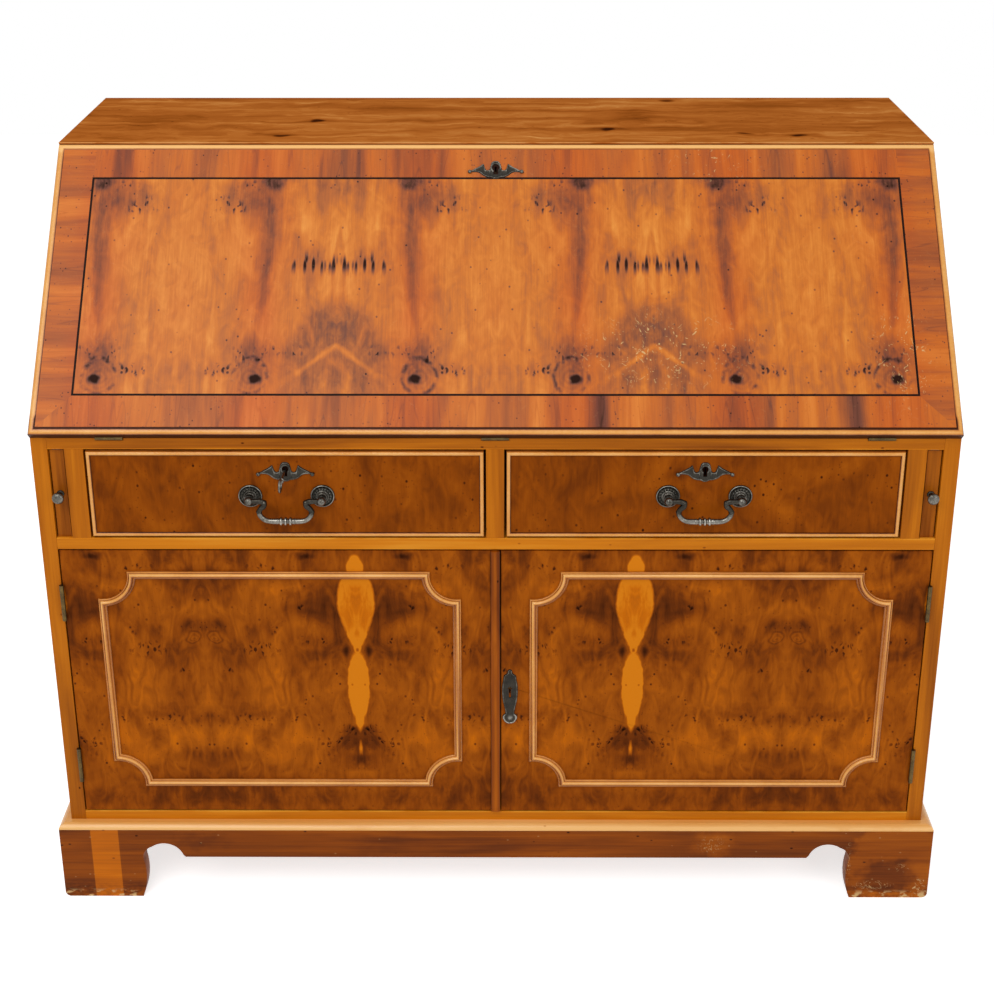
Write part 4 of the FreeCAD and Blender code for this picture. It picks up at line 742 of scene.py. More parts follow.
    def clouds(self) -> list[tuple[Spot, float]]:
        """Soft clouds in a leaf's figure and how far each moves the tone.

        Returns:
            Spots, and how far each moves the tone.
        """
        top = [(Spot(122.0, 370.0, 30.0, 27.0, 0.1), -0.5), (Spot(116.0, 336.0, 38.0, 52.0), -0.22),
               (Spot(112.0, 275.0, 34.0, 120.0), -0.13), (Spot(72.0, 346.0, 44.0, 36.0), -0.2)]
        eye = [(Spot(104.0, 112.0, 36.0, 50.0), -0.3), (Spot(102.0, 78.0, 34.0, 30.0), -0.16),
               (Spot(150.0, 118.0, 44.0, 24.0), -0.07), (Spot(62.0, 94.0, 36.0, 18.0), -0.12)]
        joint = [(Spot(self.leaf, 150.0, 34.0, 40.0), -0.26), (Spot(self.leaf, 84.0, 40.0, 22.0), -0.06),
                 (Spot(180.0, 246.0, 50.0, 22.0), -0.17), (Spot(self.leaf, 352.0, 16.0, 60.0), -0.14)]
        return top + eye + joint + [(Spot(28.0, 220.0, 56.0, 150.0), 0.08),
                                    (Spot(170.0, 310.0, 30.0, 56.0), 0.08)]

    def eye(self, tree: Tree, place: Socket, flat: Socket) -> Socket:
        """An eye knot: a dark pupil, faint rings and a broken rim, by the distance from the pupil.

        Args:
            tree: node tree.
            place: coordinates in millimetres.
            flat: place on the fall.
        Returns:
            A field, one where it is darkest.
        """
        pupil = Spot(106.0, 76.0, 10.0, 10.0, 0.3).mask(tree, place)
        far = Spot(99.0, 80.0, 1.0, 1.15).shares(tree, place)
        faint = rings(tree, far, 0.9, 10.0, 26.0)
        broken = patches(tree, flat, (1 / 14.0, 1 / 14.0, 1.0), 2.0, -0.08, 0.12)
        rim = only_where(tree, near(tree, far, 22.5, 5.0), broken)
        return blend(tree, pupil, (faint, 0.07), (rim, 0.7))

    def peak(self, tree: Tree, place: Socket) -> Socket:
        """A dark and a pale peak over a joint, level lines of climb + lean * distance, and an arch.

        Args:
            tree: node tree.
            place: coordinates in millimetres.
        Returns:
            How far it moves the tone.
        """
        axes = add(tree, Node.SEPARATE, [place]).node.outputs
        gap = add(tree, Node.MATH, [self.leaf, axes["X"]], operation="SUBTRACT")
        gap = add(tree, Node.MATH, [gap], operation="ABSOLUTE")
        level = add(tree, Node.MATH, [gap, self.peak_lean, axes["Y"]], operation="MULTIPLY_ADD")
        dark = only_where(tree, within(tree, level, 150.0, 212.0), within(tree, gap, 30.0, 118.0))
        pale = only_where(tree, near(tree, level, 124.0, 8.0), within(tree, gap, 20.0, 90.0))
        arch = near(tree, Spot(self.leaf, 132.0, 1.0, 1.25).shares(tree, place), 42.0, 17.0)
        arch = only_where(tree, arch, add(tree, Node.MAP_RANGE, [axes["Y"], 116.0, 142.0, 0.0, 1.0]))
        return blend(tree, 0.0, (dark, -0.24), (pale, 0.22), (arch, -0.14))

    def burrs(self, tree: Tree, leaf: Socket, loose: Socket) -> Socket:
        """Clusters of short upright burr strokes near the top and the bottom of a leaf.

        Args:
            tree: node tree.
            leaf: place on a leaf, mirrored at each joint.
            loose: the same place, pushed about.
        Returns:
            A field, one in the middle of a stroke.
        """
        marks = pips(tree, drift(tree, leaf, 16.0, 5.0), (6.5, 26.0, 1.0), 0.46)
        groups = [Spot(60.0, 332.0, 30.0, 17.0, 0.3), Spot(54.0, 95.0, 32.0, 13.0, 0.4),
                  Spot(88.0, 112.0, 20.0, 18.0), Spot(124.0, 114.0, 22.0, 20.0),
                  Spot(154.0, 118.0, 20.0, 12.0), Spot(84.0, 358.0, 22.0, 12.0)]
        mask = spread(tree, 0.0, loose, [(spot, 1.0) for spot in groups])
        return only_where(tree, marks, mask)

    def dashes(self, tree: Tree, leaf: Socket, climb: Socket, folded: Socket) -> Socket:
        """A row of dark upright burr streaks across the joint, longer and shorter by turns.

        Args:
            tree: node tree.
            leaf: place on a leaf, mirrored at each joint.
            climb: distance up the fall from its heel.
            folded: distance across the leaf from its plain joint.
        Returns:
            A field, one in the middle of a stroke.
        """
        strokes = pips(tree, leaf, (6.0, 34.0, 1.0), 0.5)
        row = only_where(tree, strokes, near(tree, climb, self.dash_height, 23.0))
        return only_where(tree, row, add(tree, Node.MAP_RANGE, [folded, 136.0, 152.0, 0.0, 1.0]))

    def scratches(self, tree: Tree, flat: Socket) -> Socket:
        """Fine scratches at three leans, thick where the fall is rubbed most; drawn wide enough to show.

        Args:
            tree: node tree.
            flat: place on the fall.
        Returns:
            Share of bare wood.
        """
        leaned = []
        for lean in self.leans:
            turned = {"Vector": drift(tree, flat, 26.0, 16.0), "Rotation": (0.0, 0.0, lean)}
            marks = pips(tree, add(tree, Node.MAPPING, turned), (*self.scratch, 1.0), 0.22)
            leaned.append((marks, 1.0))
        rubbed = [Spot(225.0, 118.0, 150.0, 70.0, 0.3), Spot(540.0, 110.0, 50.0, 100.0, 0.2),
                  Spot(300.0, 395.0, 80.0, 40.0)]
        rubbed = spread(tree, 0.06, flat, [(spot, 0.9) for spot in rubbed])
        sparse = patches(tree, flat, (1 / 21.0, 1 / 21.0, 1.0), 2.0, -0.08, 0.05)
        return only_where(tree, blend(tree, 0.0, *leaned), only_where(tree, rubbed, sparse))


@dataclass(frozen=True)
class BurrYew(PolishedYew):
    """Burr yew on a drawer front: slow clouds, short upright fibres and clusters of dark red pips."""

    base: float = 0.5
    depth: float = 0.3
    # Where the front is painted black as the shade inside the keyhole.
    keyhole: Spot = Spot(0.0, 0.0, 1.0, 1.0)

    def shader(self, tree: Tree) -> Socket:
        """The burr on the front's own plane, black with handling inside the keyhole.

        Args:
            tree: node tree.
        Returns:
            The shader.
        """
        place = millimetres(tree)
        axes = add(tree, Node.SEPARATE, [place]).node.outputs
        off = add(tree, Node.MATH, [axes["X"]], operation="ABSOLUTE")
        flat = add(tree, Node.COMBINE, [off, axes["Z"], 0.0])
        # Painted shade: black inside the keyhole.
        return self.polish(tree, blend(tree, self.burr(tree, place), (self.keyhole.mask(tree, flat), -1.0)))

    def burr(self, tree: Tree, place: Socket) -> Socket:
        """The field of tone without any single large figure.

        Args:
            tree: node tree.
            place: coordinates in millimetres.
        Returns:
            The field.
        """
        broad = streaks(tree, place, (1 / 80.0, 1 / 80.0, 1 / 90.0), 3.0, 1.0)
        swirl = streaks(tree, place, (1 / 20.0, 1 / 20.0, 1 / 48.0), 4.0, 1.6)
        lines = streaks(tree, place, (1 / 3.0, 1 / 3.0, 1 / 70.0), 3.0, 0.6)
        fibre = streaks(tree, place, (1 / 1.2, 1 / 1.2, 1 / 24.0), 2.0)
        group = add(tree, Node.MAP_RANGE, [broad, -0.04, 0.12, 0.1, 1.0])
        marks = only_where(tree, pips(tree, place, (14.0, 14.0, 17.0), 0.16), group)
        fine = only_where(tree, pips(tree, place, (6.5, 6.5, 8.0), 0.17), group)
        return blend(tree, self.base, (broad, self.depth), (swirl, 0.6 * self.depth), (lines, 0.07),
                     (fibre, 0.08), (marks, -0.4), (fine, -0.2))


@dataclass(frozen=True)
class DoorVeneer(BurrYew):
    """Book-matched burr on the doors: a sapwood flame, eyes and arcs of pips, mirrored at each joint."""

    joint: float = 190.0
    leaf: float = 210.0
    face: float = 0.0
    veneer: tuple[float, float] = (4.0, 8.0)

    def shader(self, tree: Tree) -> Socket:
        """The burr field, with the leaf's figure on the outer face, mirrored about the bureau's middle.

        Args:
            tree: node tree.
        Returns:
            The shader.
        """
        axes = add(tree, Node.SEPARATE, [millimetres(tree)]).node.outputs
        off = add(tree, Node.MATH, [axes["X"]], operation="ABSOLUTE")
        folded = add(tree, Node.MATH, [off, self.joint], operation="SUBTRACT")
        folded = add(tree, Node.MATH, [folded, self.leaf], operation="PINGPONG")
        leaf = add(tree, Node.COMBINE, [folded, axes["Z"], 0.0])
        own = add(tree, Node.COMBINE, [folded, 0.0, axes["Z"]])
        loose = drift(tree, leaf, 30.0, 22.0)
        smoke = streaks(tree, leaf, (1 / 8.0, 1 / 16.0, 1.0), 4.0, 1.0)
        clouds = spread(tree, 0.0, loose, self.clouds())
        clouds = add(tree, Node.MATH, [clouds, blend(tree, 1.0, (smoke, 1.2))], operation="MULTIPLY")
        layers = [(clouds, 1.0), (self.eyes(tree, loose), -0.1), (self.arms(tree, loose), -0.12)]
        layers.append((self.flame(tree, drift(tree, leaf, 16.0, 5.0)), 0.62))
        layers += [(Spot(15.0, 400.0, 8.0, 15.0).mask(tree, leaf), -0.42),
                   (Spot(0.0, 402.0, 4.0, 5.0).mask(tree, leaf), -0.5)]
        marks = pips(tree, drift(tree, leaf, 16.0, 6.0), (7.5, 17.0, 1.0), 0.42)
        groups = [Spot(54.0, 420.0, 34.0, 12.0, 0.3), Spot(112.0, 437.0, 10.0, 12.0),
                  Spot(130.0, 404.0, 38.0, 20.0), Spot(146.0, 288.0, 46.0, 14.0),
                  Spot(40.0, 252.0, 34.0, 26.0), Spot(85.0, 292.0, 24.0, 12.0), Spot(16.0, 272.0, 20.0, 12.0),
                  Spot(180.0, 372.0, 14.0, 10.0), Spot(76.0, 470.0, 9.0, 9.0), Spot(120.0, 530.0, 40.0, 10.0)]
        mask = spread(tree, 0.0, loose, [(spot, 1.0) for spot in groups])
        layers.append((only_where(tree, marks, mask), -0.44))
        outer = within(tree, axes["Y"], *(self.face + depth for depth in self.veneer))
        figure = only_where(tree, blend(tree, 0.0, *layers), outer)
        return self.polish(tree, blend(tree, self.burr(tree, own), (figure, 1.0)))

    def flame(self, tree: Tree, place: Socket) -> Socket:
        """The sapwood flame: the greatest of ovals that make its two lobes, its tip and its tail.

        Args:
            tree: node tree.
            place: coordinates in millimetres.
        Returns:
            The flame's mask.
        """
        ovals = [Spot(0.0, 476.0, 27.0, 58.0, 0.86), Spot(0.0, 528.0, 13.0, 24.0, 0.7),
                 Spot(0.0, 446.0, 17.0, 44.0, 0.8), Spot(0.0, 416.0, 7.0, 32.0, 0.5),
                 Spot(0.0, 345.0, 16.5, 60.0, 0.82), Spot(0.0, 300.0, 8.0, 34.0, 0.6),
                 Spot(0.0, 244.0, 4.0, 15.0, 0.2)]
        whole = ovals[0].mask(tree, place)
        for oval in ovals[1:]:
            whole = add(tree, Node.MATH, [whole, oval.mask(tree, place)], operation="MAXIMUM")
        return whole

    def clouds(self) -> list[tuple[Spot, float]]:
        """Soft clouds round the flame, under the eyes and along the door's edges.

        Returns:
            Spots, and how far each moves the tone.
        """
        return [(Spot(0.0, 470.0, 48.0, 96.0), -0.18), (Spot(0.0, 340.0, 38.0, 76.0), -0.16),
                (Spot(0.0, 246.0, 46.0, 44.0), -0.18), (Spot(203.0, 352.0, 40.0, 60.0), 0.14),
                (Spot(196.0, 438.0, 32.0, 22.0), -0.26), (Spot(120.0, 330.0, 70.0, 120.0), 0.14),
                (Spot(205.0, 500.0, 44.0, 40.0), -0.12), (Spot(70.0, 549.0, 22.0, 8.0), -0.26),
                (Spot(100.0, 160.0, 120.0, 26.0), -0.12), (Spot(60.0, 400.0, 34.0, 120.0), -0.06)]

    def eyes(self, tree: Tree, place: Socket) -> Socket:
        """A ringed eye beside the far joint and wide arcs below it, by the distance from their centres.

        Args:
            tree: node tree.
            place: coordinates in millimetres.
        Returns:
            A field, one where it is darkest.
        """
        far = Spot(self.leaf - 15.5, 421.0, 1.0, 0.85).shares(tree, place)
        fine = rings(tree, far, 1.5, 5.0, 14.0)
        rim = near(tree, far, 10.0, 3.0)
        wide = Spot(self.leaf, 345.0, 1.0, 1.1).shares(tree, drift(tree, place, 22.0, 26.0))
        arcs = blend(tree, near(tree, wide, 76.0, 4.0), (near(tree, wide, 92.0, 5.0), 0.6))
        return blend(tree, rim, (fine, 0.5), (arcs, 0.16))

    def arms(self, tree: Tree, place: Socket) -> Socket:
        """Two dark arms that spread downwards from the flame's foot: level lines of height + distance.

        Args:
            tree: node tree.
            place: coordinates in millimetres.
        Returns:
            The arms' mask.
        """
        axes = add(tree, Node.SEPARATE, [place]).node.outputs
        level = add(tree, Node.MATH, [axes["X"], axes["Y"]], operation="ADD")
        return only_where(tree, near(tree, level, 284.0, 18.0), within(tree, axes["X"], 34.0, 62.0))


@dataclass(frozen=True)
class PlainBoard(Finish):
    """Sawn and scraped secondary wood, left without polish: dull, pale and hairy along the grain."""

    pale: str = "#C39A66"
    dark: str = "#94683A"
    shade: str = "#5A3C20"
    grain: Way = Way.ACROSS
    band: float = 16.0

    def marks(self, tree: Tree) -> list[tuple[Socket, float]]:
        """What else shows on the board, and how far each moves the tone: here nothing."""
        return []

    def shader(self, tree: Tree) -> Socket:
        """Bands and lines along the grain, with a dull, faintly ridged surface.

        Args:
            tree: node tree.
        Returns:
            The shader.
        """
        place = millimetres(tree)
        broad = streaks(tree, place, self.grain.scale(self.band, 14 * self.band), 3.0, 0.5)
        lines = streaks(tree, place, self.grain.scale(1.8, 90.0), 3.0)
        tone = blend(tree, 0.5, (broad, 0.9), (lines, 0.5), *self.marks(tree))
        colour = add(tree, Node.RAMP, [tone], stops=((0.0, self.shade), (0.2, self.dark), (1.0, self.pale)))
        rough = add(tree, Node.MAP_RANGE, [tone, 0.0, 1.0, 0.78, 0.62])
        relief = add(tree, Node.BUMP, {"Height": tone, "Strength": 0.35, "Distance": 0.25 * MM})
        return add(tree, Node.PRINCIPLED, {"Base Color": colour, "Roughness": rough, "Normal": relief,
                                           "Specular IOR Level": 0.12})


@dataclass(frozen=True)
class PinnedBoard(PlainBoard):
    """A thin back board pinned along its edges: dark pin heads, each in a stain, and old water marks."""

    panel: Panel = Panel()
    margin: float = 7.0
    pitch: float = 110.0
    head: float = 2.4

    def marks(self, tree: Tree) -> list[tuple[Socket, float]]:
        """Pins where a row along the edge meets every pitch, a stain round each, and slow dark clouds.

        Args:
            tree: node tree.
        Returns:
            Fields, and how far each moves the tone.
        """
        rows, turns = [], []
        for off, half in zip(self.panel.place(tree), (self.panel.half_width, self.panel.half_height)):
            rows.append(add(tree, Node.MATH, [off], operation="ABSOLUTE"))
            rows[-1] = add(tree, Node.MATH, [rows[-1], half - self.margin], operation="SUBTRACT")
            turns.append(add(tree, Node.MATH, [off, self.pitch / 2], operation="PINGPONG"))
        heads = []
        for row, turn in zip(rows, reversed(turns)):
            far = add(tree, Node.VECTOR, [add(tree, Node.COMBINE, [row, turn, 0.0])], operation="LENGTH")
            heads += [(within(tree, far, 0.7 * self.head, self.head), -1.2),
                      (within(tree, far, 0.0, 4 * self.head), -0.3)]
        stain = streaks(tree, millimetres(tree), (1 / 260.0,) * 3, 3.0, 0.6)
        return [*heads, (stain, 0.7)]


@dataclass(frozen=True)
class PatinatedBrass(Finish):
    """Cast brass gone nearly black with age: matt in the hollows, a dull gleam where cloths reach."""

    hollow: str = "#131210"
    body: str = "#3B3832"
    bright: str = "#A5A198"
    cast_grit: float = 1.6
    base: float = 0.22
    rub_and_highlight_lift: float = 0.6
    grit_depth: float = 0.5
    cloud_depth: float = 0.5

    def shader(self, tree: Tree) -> Socket:
        """Patina by the piece's own rub attribute, broken up by the grit of the casting.

        Args:
            tree: node tree.
        Returns:
            The shader.
        """
        place = millimetres(tree)
        grit = streaks(tree, place, (1 / self.cast_grit,) * 3, 3.0)
        cloud = streaks(tree, place, (1 / 9.0,) * 3, 2.0)
        rub_and_highlight = add(tree, Node.ATTRIBUTE, attribute_name="rub_and_highlight").node.outputs["Fac"]
        worn = blend(tree, self.base, (rub_and_highlight, self.rub_and_highlight_lift), (grit, self.grit_depth),
                     (cloud, self.cloud_depth))
        colour = add(tree, Node.RAMP, [worn], stops=((0.0, self.hollow), (0.4, self.body),
                                                     (1.0, self.bright)))
        rough = add(tree, Node.MAP_RANGE, [worn, 0.0, 1.0, 0.4, 0.2])
        metal = add(tree, Node.MAP_RANGE, [worn, 0.0, 0.35, 0.75, 1.0])
        relief = add(tree, Node.BUMP, {"Height": grit, "Strength": 0.3, "Distance": 0.12 * MM})
        return add(tree, Node.PRINCIPLED, {"Base Color": colour, "Roughness": rough, "Metallic": metal,
                                           "Normal": relief})


@dataclass(frozen=True)
class BlackLine(Finish):
    """Pear veneer dyed black for stringing: nearly black, with brown where the polish has worn."""

    tones: Stops = ((0.0, "#0B0706"), (1.0, "#2A1812"))

    def shader(self, tree: Tree) -> Socket:
        """Faint brown clouds under the same polish as the veneers.

        Args:
            tree: node tree.
        Returns:
            The shader.
        """
        place = millimetres(tree)
        cloud = streaks(tree, place, (1 / 12.0,) * 3, 3.0)
        tone = blend(tree, 0.45, (cloud, 0.9))
        colour = add(tree, Node.RAMP, [tone], stops=self.tones)
        rough = add(tree, Node.MAP_RANGE, [tone, 0.0, 1.0, 0.4, 0.52])
        return add(tree, Node.PRINCIPLED, {"Base Color": colour, "Roughness": rough,
                                           "Specular IOR Level": 0.06})


@dataclass(frozen=True)
class TooledHide(Finish):
    """Green hide, dyed and waxed, with gilt fillets stamped near its edge: pebbled, paler on the pebbles."""

    panel: Panel = Panel()
    fillet_inset: float = 14.0
    fillet_width: float = 1.6
    pebble: float = 1.8
    tones: Stops = ((0.0, "#1B2B1C"), (0.6, "#2F4A30"), (1.0, "#4E6B48"))
    gold: str = "#B58A3C"

    def shader(self, tree: Tree) -> Socket:
        """Pebbles from a cell pattern, and a fillet where the distance from the edge is its inset.

        Args:
            tree: node tree.
        Returns:
            The shader.
        """
        place, edge = millimetres(tree), self.panel.inset(tree)
        gilt = near(tree, edge, self.fillet_inset, self.fillet_width)
        second = near(tree, edge, self.fillet_inset + 5.0, self.fillet_width * 0.6)
        gilt = add(tree, Node.MATH, [gilt, second], operation="MAXIMUM")
        cells = add(tree, Node.MAPPING, {"Vector": place, "Scale": (1 / self.pebble,) * 3})
        cells = add(tree, Node.VORONOI, {"Vector": cells, "Scale": 1.0})
        cloud = streaks(tree, place, (1 / 90.0,) * 3, 3.0)
        tone = blend(tree, 0.6, (cells, -0.5), (cloud, 0.5))
        colour = add(tree, Node.RAMP, [tone], stops=self.tones)
        colour = add(tree, Node.MIX, {0: gilt, 6: colour, 7: linear(self.gold)}, data_type="RGBA")
        rough = add(tree, Node.MAP_RANGE, [tone, 0.0, 1.0, 0.62, 0.45])
        height = blend(tree, cells, (gilt, 0.8))
        relief = add(tree, Node.BUMP, {"Height": height, "Strength": 0.5, "Distance": -0.2 * MM})
        return add(tree, Node.PRINCIPLED, {"Base Color": colour, "Roughness": rough, "Metallic": gilt,
                                           "Normal": relief})


@dataclass(frozen=True)
class Baize(Finish):
    """Wool baize, woven and felted: matt, soft-edged, with a nap that lightens it at a glance."""

    pale: str = "#A79A95"
    dark: str = "#6F6462"
    fibre: float = 0.8

    def shader(self, tree: Tree) -> Socket:
        """Tangled fibres from two fields of noise; the fibre is drawn coarser than wool so that it shows.

        Args:
            tree: node tree.
        Returns:
            The shader.
        """
        place = millimetres(tree)
        fuzz = streaks(tree, place, (1 / self.fibre,) * 3, 3.0, 1.5)
        cloud = streaks(tree, place, (1 / 14.0,) * 3, 2.0)
        tone = blend(tree, 0.5, (fuzz, 0.9), (cloud, 0.7))
        colour = add(tree, Node.RAMP, [tone], stops=((0.0, self.dark), (1.0, self.pale)))
        rough = add(tree, Node.MAP_RANGE, [tone, 0.0, 1.0, 0.98, 0.88])
        relief = add(tree, Node.BUMP, {"Height": fuzz, "Strength": 0.6, "Distance": 0.3 * MM})
        return add(tree, Node.PRINCIPLED, {"Base Color": colour, "Roughness": rough, "Normal": relief,
                                           "Sheen Weight": 0.4})


# Surfaces

def corners(node: str) -> tuple[Array, Array]:
    """A frame node's lowest and highest corners in millimetres."""
    low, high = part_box(node)
    return np.array(low) / MM, np.array(high) / MM


def through(points: list | Array, steps: int) -> Array:
    """A smooth curve through points: on each span the cubic whose end slopes are half the neighbours' chord.

    Args:
        points: the points, one per row.
        steps: how many steps each span has.
    Returns:
        The curve's points.
    """
    p = np.asarray(points, float)
    p = np.vstack([2 * p[0] - p[1], p, 2 * p[-1] - p[-2]])
    t = np.linspace(0, 1, steps, endpoint=False)[:, None, None]
    a, b, c, d = p[:-3], p[1:-2], p[2:-1], p[3:]
    spans = b + 0.5 * t * ((c - a) + t * ((2 * a - 5 * b + 4 * c - d) + t * (3 * b - 3 * c + d - a)))
    return np.vstack([spans.swapaxes(0, 1).reshape(-1, p.shape[1]), p[-2]])


def smooth_step(value: Array, low: float, high: float) -> Array:
    """Zero below low, one above high, with the cubic 3t^2 - 2t^3 between."""
    t = np.clip((value - low) / (high - low), 0, 1)
    return t * t * (3 - 2 * t)


def bell(off: Array, width: float) -> Array:
    """A bell curve of an offset: one at zero, falling as exp(-(off / width)^2)."""
    return np.exp(-(off / width) ** 2)


@dataclass(frozen=True)
class Seat:
    """A flat place that a fitting stands on: its origin, the way up along the face and the way out of it."""

    origin: tuple[float, float, float]
    up: tuple[float, float, float] = (0.0, 0.0, 1.0)
    out: tuple[float, float, float] = (0.0, -1.0, 0.0)

    def put(self, across: Array, along: Array, height: Array) -> Array:
        """Points across, along and out of the face, as places in the frame: origin + X a + up b + out h.

        Args:
            across: distances along X.
            along: distances up the face.
            height: distances out of the face.
        Returns:
            A grid of points.
        """
        across, along, height = np.broadcast_arrays(across, along, height)
        axes = np.array([(1.0, 0.0, 0.0), self.up, self.out])
        return np.array(self.origin) + np.stack([across, along, height], axis=-1) @ axes

    def turned(self, profile: Array, sectors: int, ripple: Array | float = 0.0, petals: int = 1) -> Array:
        """A profile turned about the way out: radius r, height h + ripple * cos(petals * angle).

        Args:
            profile: radius and height, one pair per row.
            sectors: points round a ring.
            ripple: height of the petals at each row.
            petals: how many petals go round.
        Returns:
            A grid of points, one ring per row.
        """
        turn = np.linspace(0, FULL_TURN, sectors, endpoint=False)
        height = profile[:, 1:] + np.reshape(ripple, (-1, 1)) * np.cos(petals * turn)
        return self.put(profile[:, :1] * np.cos(turn), profile[:, :1] * np.sin(turn), height)


class Shell:
    """Grids of rings, in millimetres, that together make one piece."""

    def __init__(self) -> None:
        """Start with no rings."""
        self.points: list[Array] = []
        self.faces: list[Array] = []
        self.rub_and_highlight: list[Array] = []
        self.count = 0

    def lay(self, grid: Array, rub_and_highlight: Array | float = 0.0, closed: bool = False) -> None:
        """Add a grid whose rows are closed rings.

        Args:
            grid: points as rows, ring places and coordinates.
            rub: how bright each point is rubbed, from zero to one.
            closed: whether the last ring joins the first.
        """
        rows, ring = grid.shape[:2]
        index = np.arange(rows * ring).reshape(rows, ring) + self.count
        index = np.hstack([index, index[:, :1]])
        index = np.vstack([index, index[:1]]) if closed else index
        quads = np.stack([index[:-1, :-1], index[:-1, 1:], index[1:, 1:], index[1:, :-1]], axis=-1)
        self.points.append(grid.reshape(-1, 3))
        self.faces.append(quads.reshape(-1, 4))
        self.rub_and_highlight.append(np.broadcast_to(np.asarray(rub_and_highlight, float), (rows, ring)).reshape(-1))
        self.count += rows * ring

    def mesh(self, name: str) -> bpy.types.Object:
        """Make the rings one mesh object, with poles merged and faces turned outwards.

        Args:
            name: the piece's name.
        Returns:
            The new object.
        """
        mesh = bpy.data.meshes.new(name)
        mesh.from_pydata(np.vstack(self.points) * MM, [], np.vstack(self.faces).tolist())
        mesh.attributes.new("rub_and_highlight", "FLOAT", "POINT").data.foreach_set("value", np.concatenate(self.rub_and_highlight))
        work = bmesh.new()
        work.from_mesh(mesh)
        bmesh.ops.remove_doubles(work, verts=work.verts, dist=MERGE_REACH)
        bmesh.ops.recalc_face_normals(work, faces=work.faces)
        work.to_mesh(mesh)
        work.free()
        piece = bpy.data.objects.new(name, mesh)
        bpy.context.scene.collection.objects.link(piece)
        return piece


def pierced(piece: bpy.types.Object, tool: bpy.types.Object) -> None:
    """Cut one closed mesh out of another and delete the tool.

    Args:
        piece: what is cut.
        tool: what is cut away.
    """
    cut = piece.modifiers.new("pierced", "BOOLEAN")
    cut.object = tool
    cut.solver = "EXACT"
    done = bpy.data.meshes.new_from_object(piece.evaluated_get(bpy.context.evaluated_depsgraph_get()))
    piece.modifiers.clear()
    old, name = piece.data, piece.name
    piece.data = done
    bpy.data.meshes.remove(old)
    bpy.data.meshes.remove(tool.data)
    piece.data.name = name


def seated(piece: bpy.types.Object, body: str, slot: str, look: bpy.types.Material, *replaced: str,
           crease: float = 38.0) -> bpy.types.Object:
    """Finish a new piece: smooth its faces up to a crease, dress it and let it ride on a body.

    Args:
        piece: the new object.
        body: the body that carries it.
        slot: the record's material slot.
        look: its material.
        replaced: frame nodes that it stands for.
        crease: edges sharper than this angle stay sharp.
    Returns:
        The piece.
    """
    piece.data.polygons.foreach_set("use_smooth", np.ones(len(piece.data.polygons), bool))
    piece.data.set_sharp_from_angle(angle=math.radians(crease))
    piece.data.materials.clear()
    piece.data.materials.append(look)
    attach(piece, body)
    if replaced:
        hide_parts(*replaced)
    LOG.info("%s rides on %s", piece.name, body)
    return piece


def dressed(look: bpy.types.Material, *nodes: str, arris: float = 0.0) -> None:
    """Give frame nodes a finish and, where asked, a softened arris.

    Args:
        look: the material.
        nodes: the frame's nodes.
        arris: width of the softened edge, zero for none.
    """
    for name in nodes:
        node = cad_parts[name]
        for place in node.material_slots:
            place.material = look
        if arris:
            weld = node.modifiers.new("one skin", "WELD")
            weld.merge_threshold = ARRIS_WELD * MM
            edge = node.modifiers.new("soft arris", "BEVEL")
            edge.width = arris * MM
            edge.segments = ARRIS_STEPS
            edge.limit_method = "ANGLE"
            edge.angle_limit = ARRIS_ANGLE
            edge.harden_normals = False
        LOG.info("%s is dressed in %s", name, look.name)


# Looks, one of each

@dataclass(frozen=True)
class Slope:
    """Where the closed fall lies: its hinge line, its angle and its reach up the slope."""

    pin: tuple[float, float]
    angle: float
    reach: float
    thickness: float
    half_width: float

    @classmethod
    def measured(cls, thickness: float = 16.0, hinge_set: float = 0.5) -> "Slope":
        """Work the slope out from the frame's boards.

        Args:
            thickness: the fall's thickness.
            hinge_set: how far the hinge line stands before the carcass.
        Returns:
            The slope.
        """
        low, high = corners("top_board")
        writing_low, writing_high = corners("writing_board")
        pin = (writing_low[1] - hinge_set, writing_high[2])
        run, rise = low[1] - pin[0], high[2] - pin[1]
        span = math.hypot(run, rise)
        angle = math.atan2(rise, run) - math.asin(thickness / span)
        return cls(pin, angle, math.sqrt(span**2 - thickness**2), thickness, high[0])

    def seat(self, climb: float) -> Seat:
        """The place on the fall's outer face at a distance up the slope.

        Args:
            climb: distance up the fall from its heel.
        Returns:
            The seat.
        """
        up = np.array([0.0, math.cos(self.angle), math.sin(self.angle)])
        out = np.array([0.0, -math.sin(self.angle), math.cos(self.angle)])
        origin = np.array([0.0, *self.pin]) + climb * up + self.thickness * out
        return Seat(tuple(origin), tuple(up), tuple(out))

    def panel(self, low: float, high: float, half_width: float) -> Panel:
        """A rectangle on the slope between two distances from the hinge line."""
        seat = self.seat((low + high) / 2)
        return Panel(seat.origin, seat.up, half_width, (high - low) / 2)


FALL_TONES = ((0.0, "#2A1710"), (0.15, "#4C2D20"), (0.3, "#734230"), (0.42, "#94522C"), (0.55, "#B2622B"),
              (0.68, "#C97024"), (0.82, "#D98230"), (1.0, "#E79A42"))
TOP_TONES = ((0.0, "#3E1A08"), (0.2, "#6E3510"), (0.4, "#985018"), (0.55, "#AE5F22"), (0.7, "#BE6E2C"),
             (0.85, "#D08540"), (1.0, "#E6A862"))
BURR_TONES = ((0.0, "#1A0802"), (0.2, "#451D05"), (0.38, "#6E3206"), (0.5, "#8A4206"), (0.62, "#9E5009"),
              (0.75, "#B25C0A"), (0.88, "#C76906"), (1.0, "#D67C12"))
EDGE_TONES = ((0.0, "#4A1E04"), (0.25, "#8A4606"), (0.5, "#B56408"), (0.75, "#CF7A10"), (1.0, "#E29A2E"))
BEAD_TONES = ((0.0, "#3E1C0A"), (0.25, "#864614"), (0.5, "#BC7028"), (0.75, "#DA9440"), (1.0, "#EEB66C"))


